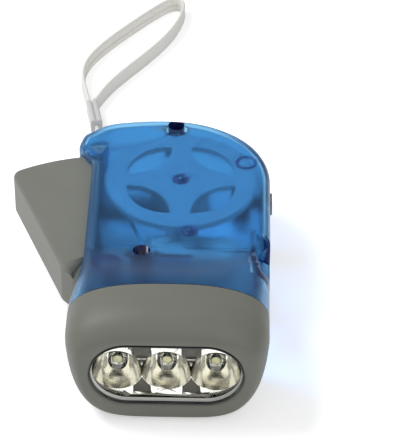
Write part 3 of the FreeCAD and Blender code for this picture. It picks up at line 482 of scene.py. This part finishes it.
def tidy(piece: bpy.types.Object, sharp_degrees: float = 35.0, merge_mm: float = 0.0005) -> None:
    """Merge doubled points, turn the faces outwards and shade smoothly up to an angle."""
    work = bmesh.new()
    work.from_mesh(piece.data)
    bmesh.ops.remove_doubles(work, verts=work.verts, dist=merge_mm * MM)
    bmesh.ops.dissolve_degenerate(work, edges=work.edges, dist=1e-8)
    bmesh.ops.recalc_face_normals(work, faces=work.faces)
    work.to_mesh(piece.data)
    work.free()
    piece.data.shade_smooth()
    piece.data.set_sharp_from_angle(angle=math.radians(sharp_degrees))


def smooth_copy(nodes: dict[str, bpy.types.Object], name: str, sharp_degrees: float = 35.0,
                bevel_mm: float = 0.0) -> bpy.types.Object:
    """Make a welded, smoothly shaded copy of a solid that stands for it.

    Args:
        nodes: the frame's nodes.
        name: the node's name.
        sharp_degrees: edges sharper than this stay crisp.
        bevel_mm: width of a small bevel on those edges, or 0.

    Returns:
        The new piece, which replaces the node.
    """
    source = nodes[name]
    piece = bpy.data.objects.new(name + "_skin", source.data.copy())
    bpy.context.scene.collection.objects.link(piece)
    tidy(piece, sharp_degrees)
    if bevel_mm > 0:
        bevel = piece.modifiers.new("edge", "BEVEL")
        bevel.width = bevel_mm * MM
        bevel.segments = 2
        bevel.limit_method = "ANGLE"
        bevel.angle_limit = math.radians(sharp_degrees)
    level = piece.modifiers.new("flat_faces", "WEIGHTED_NORMAL")
    level.keep_sharp = True
    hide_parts(name)
    return piece


def stadium_reach(turn: Array, half_width: Any, radius: Any) -> Array:
    """Return how far a round-ended slot reaches from its centre in each direction."""
    straight = half_width - radius
    c = np.abs(np.cos(turn))
    s = np.maximum(np.abs(np.sin(turn)), 1e-9)
    flat = radius / s
    round_end = straight * c + np.sqrt(np.maximum(radius ** 2 - (straight * s) ** 2, 0.0))
    return np.where(flat * c <= straight, flat, round_end)


def eased(values: Sequence[Sequence[float]], count: int) -> Array:
    """Return count rows along a smooth curve through the given rows (centripetal-like cubic)."""
    knots = np.asarray(values, float)
    gaps = np.sqrt(np.sum(np.diff(knots, axis=0) ** 2, axis=1)) ** 0.75
    at = np.concatenate([[0.0], np.cumsum(gaps)])
    slope = np.gradient(knots, at, axis=0)
    where = np.linspace(0.0, at[-1], count)
    index = np.clip(np.searchsorted(at, where, side="right") - 1, 0, len(at) - 2)
    width = (at[index + 1] - at[index])[:, None]
    t = (where - at[index])[:, None] / width
    a = 2 * t ** 3 - 3 * t ** 2 + 1
    b = t ** 3 - 2 * t ** 2 + t
    c = -2 * t ** 3 + 3 * t ** 2
    d = t ** 3 - t ** 2
    return a * knots[index] + b * width * slope[index] + c * knots[index + 1] + d * width * slope[index + 1]


@dataclass
class Head:
    """The lamp head: grey bezel, lens, reflector, three lamps and their board."""

    nodes: dict[str, bpy.types.Object]
    wardrobe: Wardrobe
    half_width: float = 25.6
    top_z: float = 32.6
    widest_z: float = 20.0
    mid_z: float = 15.6
    upper_power: float = 2.6
    lower_power: float = 4.6
    taper: float = 0.14
    taper_power: float = 1.4
    window_half_width: float = 19.3
    window_radius: float = 9.6
    front_y: float = -46.8
    reflector_y: float = -44.5
    well_floor_depth: float = 0.6
    well_floor_thickness: float = 1.38
    ring_sides: int = 320
    corner_crowding: float = 0.22
    profile_rows: int = 34
    lip_width: float = 0.9
    lip_start: float = 0.05
    lip_drop: float = 0.55
    lathe_sides: int = 24
    bowl_pitch: float = 12.3
    wells: list[list[tuple[float, float]]] = field(default_factory=lambda: [
        [(-2.3, 3.95), (2.3, 3.95), (2.3, 8.75), (-2.3, 8.75)],
        [(-0.76, 3.37), (0.0, 1.95), (0.76, 3.37)],
        [(-0.1, -2.75), (-1.65, -4.95), (-2.35, -7.75), (2.35, -7.75), (1.65, -4.95), (0.1, -2.75)]])
    profile: list[tuple[float, float, float, float]] = field(default_factory=lambda: [
        (0.0, 0.0, 0.0, -31.2), (0.0, 0.0, 0.0, -35.0), (0.1, 0.07, 0.04, -39.0),
        (0.9, 0.64, 0.32, -42.4), (2.4, 1.7, 0.86, -44.8), (4.1, 2.9, 1.46, -46.3),
        (5.4, 3.82, 1.93, -46.8)])

    def rings(self, turn: Array, rows: Sequence[Sequence[float]]) -> Array:
        """Return grid points for rows of (top inset, side inset, bottom inset, y).

        Each row is an upper and a lower half superellipse, x = a |cos t| to the power 2 / p and
        z = b |sin t| to the power 2 / p, and the lower half narrows by a power of its depth.
        """
        table = np.asarray(rows, float)
        c = np.cos(turn)[None, :]
        s = np.sin(turn)[None, :]
        above = s > 0
        power = np.where(above, self.upper_power, self.lower_power)
        rise = np.where(above, self.top_z - self.widest_z - table[:, 0:1], self.widest_z - table[:, 2:3])
        z = self.widest_z + np.sign(s) * np.abs(s) ** (2 / power) * rise
        depth = np.maximum(self.widest_z - z, 0.0) / self.widest_z
        x = np.sign(c) * np.abs(c) ** (2 / power) * (self.half_width - table[:, 1:2])
        x = x * (1 - self.taper * depth ** self.taper_power)
        return np.stack([x, np.broadcast_to(table[:, 3:4], x.shape), z], -1)

    def slots(self, directions: Array, rows: Sequence[tuple[float, float]]) -> Array:
        """Return rings of the window's slot, grown by an inset, for rows of (inset, y).

        Each point lies in the given direction from the window's centre, so that the rings line
        up with the head's own sections.
        """
        table = np.asarray(rows, float)
        reach = stadium_reach(directions[None, :], self.window_half_width + table[:, 0:1],
                              self.window_radius + table[:, 0:1])
        x = reach * np.cos(directions)[None, :]
        z = self.mid_z + reach * np.sin(directions)[None, :]
        return np.stack([x, np.broadcast_to(table[:, 1:2], x.shape), z], -1)

    def bezel(self) -> bpy.types.Object:
        """Build the bezel as one closed skin of rings, from the seam round the lip and back inside."""
        turn = np.linspace(0.0, 2 * math.pi, self.ring_sides, endpoint=False)
        turn = turn + self.corner_crowding * np.sin(4 * turn) / 4
        front = self.rings(turn, [self.profile[-1]])[0]
        directions = np.arctan2(front[:, 2] - self.mid_z, front[:, 0])
        edge = [(0.35, 0.35, 0.35, -31.02), (0.12, 0.12, 0.12, -31.06)]
        outside = self.rings(turn, edge + list(eased(self.profile, self.profile_rows)))
        lip = [(self.lip_width * s, self.front_y + self.lip_start + self.lip_drop * (1 - s) ** 2)
               for s in (1.0, 0.7, 0.45, 0.22, 0.0)]
        seat = [(0.0, -46.0), (0.0, -45.72), (0.05, -45.67), (0.8, -45.67), (0.8, -45.0), (0.8, -43.2)]
        window = self.slots(directions, lip + seat)
        inside = [(4.0, -43.1), (2.6, -42.0), (2.4, -38.0), (2.9, -31.4), (3.2, -30.2), (4.1, -28.0),
                  (2.95, -28.0), (2.3, -29.6), (1.82, -30.9), (1.6, -31.02)]
        back = self.rings(turn, [(i, i, i, y) for i, y in inside])
        points = np.concatenate([outside, window, back])
        rows, columns = points.shape[:2]
        faces = grid_faces(rows, columns, True, True)
        piece = mesh_object("bezel_skin", points.reshape(-1, 3), faces)
        tidy(piece, 40.0)
        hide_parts("head_bezel")
        self.wardrobe.dress(piece, Finish.GREY)
        return piece

    def lens(self) -> bpy.types.Object:
        """Give the clear front plate its finish."""
        piece = smooth_copy(self.nodes, "front_lens", 35.0)
        self.wardrobe.dress(piece, Finish.CLEAR_LENS)
        return piece

    def gap_shade_ring(self) -> bpy.types.Object:
        """Give the black ring in front of the lens its finish: painted shade for the shadowed gap between
        the lens and the bezel's lip.
        """
        # Painted shade: the node is named a seal, but its black stands for the shadowed gap under the lip.
        piece = smooth_copy(self.nodes, "lens_seal", 35.0)
        self.wardrobe.dress(piece, Finish.BLACK)
        return piece

    def reflector(self) -> bpy.types.Object:
        """Give the bright reflector its finish."""
        piece = smooth_copy(self.nodes, "reflector", 30.0)
        self.wardrobe.dress(piece, Finish.MIRROR)
        return piece

    def prisms(self, name: str, outlines: Sequence[Array], y0: float, y1: float) -> bpy.types.Object:
        """Build closed prisms along y over outlines of (x, z), all as one piece."""
        points: list[Array] = []
        faces: list[Sequence[int]] = []
        start = 0
        for outline in outlines:
            count = len(outline)
            for y in (y0, y1):
                points.append(np.stack([outline[:, 0], np.full(count, y), outline[:, 1]], -1))
            faces += [tuple(start + q) for q in grid_faces(2, count, False, True)]
            faces.append(tuple(range(start, start + count)))
            faces.append(tuple(range(start + 2 * count - 1, start + count - 1, -1)))
            start += 2 * count
        piece = mesh_object(name, np.concatenate(points), faces)
        tidy(piece, 30.0)
        return piece

    def well_floors(self) -> bpy.types.Object:
        """Build dark floors in the six wells between the bowls: painted shade that darkens the wells."""
        outlines = [np.asarray(well) + (side * self.bowl_pitch / 2, self.mid_z)
                    for side in (-1, 1) for well in self.wells]
        floor_y = self.reflector_y + self.well_floor_depth
        piece = self.prisms("reflector_well_shade", outlines, floor_y,
                            floor_y + self.well_floor_thickness)
        self.wardrobe.dress(piece, Finish.PAINTED_WELL_SHADE)
        return piece

    def lathed(self, name: str, profile: Array) -> bpy.types.Object:
        """Turn a closed profile of (radius, y) round each lamp's axis, as one piece."""
        sides = self.lathe_sides
        turn = np.linspace(0.0, 2 * math.pi, sides, endpoint=False)
        radius, y = profile[:, 0:1], profile[:, 1:2]
        one = np.stack([radius * np.cos(turn), np.broadcast_to(y, (len(y), sides)),
                        self.mid_z + radius * np.sin(turn)], -1).reshape(-1, 3)
        quads = grid_faces(len(profile), sides, False, True)
        points = np.concatenate([one + (x, 0.0, 0.0) for x in (-self.bowl_pitch, 0.0, self.bowl_pitch)])
        faces = np.concatenate([quads + number * len(one) for number in range(3)])
        piece = mesh_object(name, points, list(faces))
        tidy(piece, 30.0)
        return piece

    def lamp_insides(self) -> list[bpy.types.Object]:
        """Build each lamp's post and cup, and the yellow chip in the cup."""
        post = self.lathed("lamp_posts", np.array([
            (0.0, -35.8), (0.45, -35.8), (0.45, -39.4), (1.0, -40.5), (1.0, -40.7),
            (0.62, -40.3), (0.0, -40.25)]))
        chip = self.lathed("lamp_chips", np.array([
            (0.0, -40.26), (0.60, -40.31), (0.72, -40.5), (0.45, -40.62), (0.0, -40.66)]))
        for piece, finish, slot in ((post, Finish.STEEL, "steel"), (chip, Finish.PHOSPHOR, "clear_led")):
            self.wardrobe.dress(piece, finish)
        return [post, chip]

    def lamps(self) -> list[bpy.types.Object]:
        """Dress the three lamps."""
        pieces = []
        for number in (1, 2, 3):
            piece = smooth_copy(self.nodes, f"led_{number}", 35.0)
            self.wardrobe.dress(piece, Finish.EPOXY)
            pieces.append(piece)
        return pieces

    def board(self) -> bpy.types.Object:
        """Dress the lamp board."""
        piece = smooth_copy(self.nodes, "led_board", 35.0)
        self.wardrobe.dress(piece, Finish.WHITE_BOARD)
        return piece

    def build(self) -> list[bpy.types.Object]:
        """Build the whole head."""
        pieces = [self.bezel(), self.lens(), self.gap_shade_ring(), self.reflector()]
        pieces += [self.well_floors(), self.board()]
        pieces += self.lamps() + self.lamp_insides()
        for piece in pieces:
            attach(piece, Body.CASE.value)
        return pieces


@dataclass
class Strap:
    """The wrist strap: a doubled string, a crimped ferrule and a loop of flat braid on edge."""

    nodes: dict[str, bpy.types.Object]
    wardrobe: Wardrobe
    tape_width: float = 5.0
    tape_thickness: float = 1.2
    tape_z: float = 2.6
    ferrule_half_width: float = 1.7
    ferrule_ends: tuple[tuple[float, float], tuple[float, float]] = ((-24.5, 75.5), (-26.5, 85.7))
    string_radius: float = 0.8
    strand_waist: float = 0.20
    strand_flatness: float = 0.8
    strand_twist: float = 0.06
    string_route: list[tuple[float, float, float]] = field(default_factory=lambda: [
        (-19.2, 41.5, 12.0), (-22.1, 47.5, 11.8), (-23.0, 52.4, 8.6), (-23.3, 57.4, 4.4),
        (-23.2, 63.6, 1.8), (-23.8, 69.6, 1.7), (-24.5, 75.5, 2.6)])
    tape_route: list[tuple[float, float]] = field(default_factory=lambda: [
        (-27.3, 85.5), (-28.7, 91.6), (-30.1, 98.2), (-29.9, 105.6), (-27.0, 113.0),
        (-22.4, 120.2), (-17.0, 127.6), (-11.4, 134.8), (-6.6, 140.4), (-3.1, 142.9),
        (-0.9, 141.3), (-0.5, 137.6), (-1.6, 131.4), (-4.4, 123.6), (-8.9, 115.4),
        (-14.4, 107.2), (-19.6, 99.4), (-23.4, 92.4), (-25.7, 85.9)])

    def line(self, route: Sequence[Sequence[float]]) -> Array:
        """Return points, in millimetres, read from the smooth NURBS spline that a route controls."""
        curve = bpy.data.curves.new("route", "CURVE")
        curve.dimensions = "3D"
        spline = curve.splines.new("NURBS")
        spline.points.add(len(route) - 1)
        for point, place in zip(spline.points, route):
            point.co = (*(c * MM for c in place), 1.0)
        spline.order_u = 3
        spline.use_endpoint_u = True
        spline.resolution_u = 24
        holder = bpy.data.objects.new("route", curve)
        bpy.context.scene.collection.objects.link(holder)
        mesh = bpy.data.meshes.new_from_object(holder)
        points = np.empty(len(mesh.vertices) * 3)
        mesh.vertices.foreach_get("co", points)
        bpy.data.objects.remove(holder)
        bpy.data.curves.remove(curve)
        bpy.data.meshes.remove(mesh)
        return points.reshape(-1, 3) / MM

    def carried(self, name: str, path: Array, profile: Array, twist: float = 0.0
                ) -> bpy.types.Object:
        """Carry a closed profile along a path, its own up direction kept upright.

        Args:
            name: the piece's name.
            path: the points it follows, in millimetres.
            profile: points of (side, up) offsets, a ring.
            twist: turns of the profile per millimetre of path.

        Returns:
            The tube, with capped ends and a map of (length, way round) in millimetres.
        """
        ahead = np.gradient(path, axis=0)
        ahead /= np.linalg.norm(ahead, axis=1, keepdims=True)
        side = np.cross(ahead, np.broadcast_to(UPWARD, ahead.shape))
        side /= np.linalg.norm(side, axis=1, keepdims=True)
        rise = np.cross(side, ahead)
        steps = np.linalg.norm(np.diff(path, axis=0), axis=1)
        length = np.concatenate([[0.0], np.cumsum(steps)])
        angle = 2 * math.pi * twist * length[:, None]
        a = profile[None, :, 0] * np.cos(angle) - profile[None, :, 1] * np.sin(angle)
        b = profile[None, :, 0] * np.sin(angle) + profile[None, :, 1] * np.cos(angle)
        points = path[:, None, :] + a[:, :, None] * side[:, None, :] + b[:, :, None] * rise[:, None, :]
        rows, columns = points.shape[:2]
        faces = [tuple(f) for f in grid_faces(rows, columns, False, True)]
        faces.append(tuple(range(columns)))
        faces.append(tuple(range((rows - 1) * columns, rows * columns))[::-1])
        piece = mesh_object(name, points.reshape(-1, 3), faces)
        around = np.linalg.norm(np.diff(np.vstack([profile, profile[:1]]), axis=0), axis=1)
        way = np.concatenate([[0.0], np.cumsum(around)])[:columns]
        layer = piece.data.uv_layers.new(name="yarn")
        corner = np.empty(len(piece.data.loops), int)
        piece.data.loops.foreach_get("vertex_index", corner)
        map_points = np.stack([length[corner // columns], way[corner % columns]], 1)
        layer.data.foreach_set("uv", map_points.ravel())
        piece.data.shade_smooth()
        return piece

    def tape_profile(self) -> Array:
        """Return the braid's section: flat, with a thicker band at each edge, rounded at the corners."""
        angle = np.linspace(0.0, 2 * math.pi, 40, endpoint=False)
        half = self.tape_width / 2
        up = half * np.sign(np.sin(angle)) * np.abs(np.sin(angle)) ** 0.75
        across = np.sign(np.cos(angle)) * np.abs(np.cos(angle)) ** 0.35
        band = 0.78 + 0.22 * np.exp(-((np.abs(up) / half - 0.72) / 0.16) ** 2)
        return np.stack([across * self.tape_thickness / 2 * band, up], 1)

    def loop(self) -> bpy.types.Object:
        route = [(x, y, self.tape_z) for x, y in self.tape_route]
        path = self.line(route)
        piece = self.carried("strap_tape", path, self.tape_profile())
        self.wardrobe.dress(piece, Finish.TAPE)
        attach(piece, Body.CASE.value)
        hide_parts("strap_loop")
        return piece

    def string(self) -> bpy.types.Object:
        path = self.line(self.string_route)
        around = np.linspace(0.0, 2 * math.pi, 32, endpoint=False)
        lobe = self.string_radius * (1 - self.strand_waist * (1 - np.abs(np.cos(around))))
        profile = np.stack([lobe * np.cos(around), lobe * np.sin(around) * self.strand_flatness], 1)
        piece = self.carried("strap_strands", path, profile, self.strand_twist)
        self.wardrobe.dress(piece, Finish.STRING)
        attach(piece, Body.CASE.value)
        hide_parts("strap_string")
        return piece

    def ferrule(self) -> bpy.types.Object:
        """Build the crimped ferrule: two flat barrels side by side with a groove between them."""
        barrel = self.ferrule_half_width / 2
        side = self.ferrule_half_width * np.cos(np.linspace(0.0, math.pi, 41))
        crown = np.sqrt(np.maximum(barrel ** 2 - (np.abs(side) - barrel) ** 2, 0.0))
        up = self.tape_width / 2 - barrel + np.maximum(crown, 0.25 * barrel * (np.abs(side) < barrel))
        profile = np.concatenate([np.stack([side, up], 1), np.stack([side, -up], 1)[::-1]])
        (x0, y0), (x1, y1) = self.ferrule_ends
        share = np.array([0.0, 0.02, 0.05, 0.25, 0.5, 0.75, 0.95, 0.98, 1.0])[:, None]
        path = (1 - share) * np.array([x0, y0, self.tape_z]) + share * np.array([x1, y1, self.tape_z])
        piece = self.carried("ferrule_barrels", path, profile)
        tidy(piece, 50.0)
        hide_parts("strap_ferrule")
        self.wardrobe.dress(piece, Finish.FERRULE)
        return piece

    def build(self) -> list[bpy.types.Object]:
        """Build the whole strap."""
        ferrule = self.ferrule()
        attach(ferrule, Body.CASE.value)
        knot = smooth_copy(self.nodes, "strap_knot", 60.0)
        self.wardrobe.dress(knot, Finish.FERRULE)
        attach(knot, Body.CASE.value)
        return [ferrule, knot, self.string(), self.loop()]


@dataclass(frozen=True)
class Spot:
    """An upright round region of a piece that has a finish of its own."""

    x: float
    y: float
    radius: float
    low: float
    high: float
    finish: Finish


@dataclass
class Works:
    """Case, lever, gears, generator and electrics: solids that keep their shape."""

    nodes: dict[str, bpy.types.Object]
    wardrobe: Wardrobe
    crisp_degrees: float = 32.0
    bevels: dict[str, float] = field(
        default_factory=lambda: {"switch_knob": 0.15, "lock_slider": 0.15})
    finishes: dict[str, tuple[Finish, Body]] = field(default_factory=lambda: {
        "upper_case": (Finish.CLEAR_BLUE, Body.CASE),
        "lower_case": (Finish.CLEAR_BLUE, Body.CASE),
        "squeeze_lever": (Finish.GREY_LEVER, Body.LEVER),
        "lever_spring": (Finish.STEEL, Body.CASE),
        "lever_pin": (Finish.STEEL, Body.CASE),
        "main_axle": (Finish.STEEL, Body.CASE),
        "rotor_axle": (Finish.STEEL, Body.CASE),
        "drive_pinion": (Finish.WHITE_NYLON, Body.DRIVE),
        "ratchet_wheel": (Finish.WHITE_NYLON, Body.DRIVE),
        "drive_gear": (Finish.WHITE_NYLON, Body.GEAR),
        "pawl_carrier": (Finish.WHITE_NYLON, Body.GEAR),
        "clutch_pawls": (Finish.WHITE_NYLON, Body.GEAR),
        "rotor_pinion": (Finish.WHITE_NYLON, Body.ROTOR),
        "ring_magnet": (Finish.MAGNET, Body.ROTOR),
        "claw_ring": (Finish.STEEL, Body.CASE),
        "coil_bobbin": (Finish.BLACK, Body.CASE),
        "generator_coil": (Finish.COPPER, Body.CASE),
        "generator_cover": (Finish.PALE, Body.CASE),
        "case_screws": (Finish.STEEL, Body.CASE),
        "cell_1": (Finish.NICKEL, Body.CASE),
        "cell_2": (Finish.NICKEL, Body.CASE),
        "cell_3": (Finish.NICKEL, Body.CASE),
        "cell_links": (Finish.NICKEL, Body.CASE),
        "cell_sleeve": (Finish.SLEEVE, Body.CASE),
        "charge_board": (Finish.BOARD, Body.CASE),
        "capacitor": (Finish.BLACK, Body.CASE),
        "rectifier_diodes": (Finish.BLACK, Body.CASE),
        "switch_body": (Finish.BLACK, Body.CASE),
        "switch_knob": (Finish.GREY, Body.SWITCH),
        "lock_slider": (Finish.GREY, Body.LOCK),
        "wire_red": (Finish.RED, Body.CASE),
        "wire_black": (Finish.BLACK, Body.CASE),
    })
    halves: tuple[str, str] = ("upper_case", "lower_case")
    front_edge_y: float = -30.97
    # The first two spots are painted shade in deep recesses; the others are violet.
    spots: list[Spot] = field(default_factory=lambda: [
        Spot(-0.1, 44.3, 2.3, 19.2, 26.3, Finish.PAINTED_SHADE_BLUE),
        Spot(-7.5, -10.6, 2.3, 19.2, 26.3, Finish.PAINTED_SHADE_BLUE),
        Spot(1.77, 21.65, 2.4, 23.0, 24.7, Finish.VIOLET),
        Spot(4.58, -0.57, 2.4, 23.0, 24.7, Finish.VIOLET),
        Spot(-16.2, -15.2, 3.9, 23.0, 25.9, Finish.VIOLET),
        Spot(19.3, 29.4, 2.95, 23.0, 24.7, Finish.VIOLET)])

    def tint(self, piece: bpy.types.Object, spots: Sequence[Spot]) -> None:
        """Give a case half's front edge painted shade along its seam over the bezel, and its faces at some
        spots finishes of their own: painted shade in two deep recesses, violet at the others.
        """
        mesh = piece.data
        count = len(mesh.polygons)
        centre = np.empty(count * 3)
        mesh.polygons.foreach_get("center", centre)
        centre = centre.reshape(-1, 3) / MM
        slot = np.zeros(count, np.int32)
        for spot in spots:
            away = np.hypot(centre[:, 0] - spot.x, centre[:, 1] - spot.y)
            near = (away < spot.radius) & (centre[:, 2] > spot.low) & (centre[:, 2] < spot.high)
            slot[near] = len(mesh.materials)
            mesh.materials.append(self.wardrobe.material(spot.finish))
        # Painted shade along the case's front seam over the bezel.
        slot[centre[:, 1] < self.front_edge_y] = len(mesh.materials)
        mesh.materials.append(self.wardrobe.material(Finish.PAINTED_SHADE_BLUE))
        mesh.polygons.foreach_set("material_index", slot)

    def build(self) -> list[bpy.types.Object]:
        """Dress every solid."""
        pieces = []
        for name, (finish, body) in self.finishes.items():
            bevel = self.bevels.get(name, 0.0)
            piece = smooth_copy(self.nodes, name, self.crisp_degrees, bevel)
            self.wardrobe.dress(piece, finish)
            if name in self.halves:
                self.tint(piece, self.spots if name == "upper_case" else [])
            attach(piece, body.value)
            pieces.append(piece)
        return pieces


@dataclass
class Studio:
    """The pale floor, the lights and the camera at the photograph's angle."""

    target: tuple[float, float, float] = (7.079, 15.611, 15.0)
    distance: float = 606.24
    elevation: float = 38.547
    azimuth: float = 0.983
    roll: float = 0.355
    focal_pixels: float = 2244.99
    long_side_pixels: float = 445.0
    sensor_mm: float = 36.0
    clip_start: float = 0.01
    clip_end: float = 20.0
    floor_half: float = 3000.0
    floor_colour: Colour = (0.93, 0.93, 0.935)
    floor_glow: float = 0.45
    surround: float = 0.42
    # Each light's name, place and size in millimetres, and power in watts
    lights: tuple[tuple[str, tuple[float, float, float], float, float], ...] = (
        ("key", (-420.0, 120.0, 620.0), 300.0, 2.9),
        ("fill", (300.0, -500.0, 500.0), 500.0, 1.0))

    def camera(self) -> None:
        """Place the camera by its distance, height, turn and roll round the target."""
        rise = math.radians(self.elevation)
        turn = math.radians(self.azimuth)
        lean = math.radians(self.roll)
        back = Vector((math.sin(turn) * math.cos(rise), -math.cos(turn) * math.cos(rise), math.sin(rise)))
        level = Vector((0.0, 0.0, 1.0)).cross(back).normalized()
        up = back.cross(level)
        right = level * math.cos(lean) + up * math.sin(lean)
        over = up * math.cos(lean) - level * math.sin(lean)
        data = bpy.data.cameras.new("camera")
        data.sensor_width = self.sensor_mm
        data.lens = self.focal_pixels / self.long_side_pixels * self.sensor_mm
        data.clip_start = self.clip_start
        data.clip_end = self.clip_end
        camera = bpy.data.objects.new("camera", data)
        bpy.context.scene.collection.objects.link(camera)
        turned = Matrix((right, over, back)).transposed().to_4x4()
        place = Vector(self.target) * MM + back * (self.distance * MM)
        camera.matrix_world = Matrix.Translation(place) @ turned
        bpy.context.scene.camera = camera

    def lamp(self, name: str, place: Sequence[float], size: float, power: float) -> None:
        """Add a square soft light, placed in millimetres, that faces the case."""
        data = bpy.data.lights.new(name, "AREA")
        data.size = size * MM
        data.energy = power
        lamp = bpy.data.objects.new(name, data)
        lamp.location = Vector(place) * MM
        away = Vector(place) - Vector((0.0, 0.0, 10.0))
        lamp.rotation_mode = "QUATERNION"
        lamp.rotation_quaternion = away.to_track_quat("Z", "Y")
        bpy.context.scene.collection.objects.link(lamp)

    def floor(self) -> None:
        """Add the pale floor that the torch lies on."""
        half = self.floor_half
        points = np.array([[-half, -half, 0.0], [half, -half, 0.0], [half, half, 0.0], [-half, half, 0.0]])
        piece = mesh_object("floor", points, [(0, 1, 2, 3)])
        shader = Shader("white_floor")
        rays = shader.node("ShaderNodeLightPath").outputs
        seen = shader.value(rays["Is Camera Ray"])
        through = shader.value(rays["Is Transmission Ray"])
        mirrored = shader.value(rays["Is Glossy Ray"])
        diffuse = shader.surface({"Base Color": self.floor_colour, "Roughness": 0.9,
                                  "Specular IOR Level": 0.1,
                                  "Emission Color": (1.0, 1.0, 1.0),
                                  "Emission Strength": (seen + through + mirrored) * self.floor_glow})
        piece.data.materials.append(shader.finish(diffuse))

    def world(self) -> None:
        """Light the scene evenly from a white surround."""
        world = bpy.data.worlds.new("surround")
        world.use_nodes = True
        tree = world.node_tree
        tree.nodes["Background"].inputs["Color"].default_value = (1.0, 1.0, 1.0, 1.0)
        tree.nodes["Background"].inputs["Strength"].default_value = self.surround
        bpy.context.scene.world = world

    def build(self) -> None:
        """Set up the whole studio."""
        self.camera()
        self.floor()
        self.world()
        for name, place, size, power in self.lights:
            self.lamp(name, place, size, power)
        bpy.context.scene.view_settings.view_transform = "Standard"


def main() -> None:
    """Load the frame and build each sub-assembly."""
    logging.basicConfig(level=logging.INFO, format="%(message)s")
    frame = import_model()
    wardrobe = Wardrobe()
    for assembly in (Head(frame["nodes"], wardrobe), Works(frame["nodes"], wardrobe),
                     Strap(frame["nodes"], wardrobe)):
        for piece in assembly.build():
            log.info("%s: %d faces", piece.name, len(piece.data.polygons))
    Studio().build()


if __name__ == "__main__":
    main()
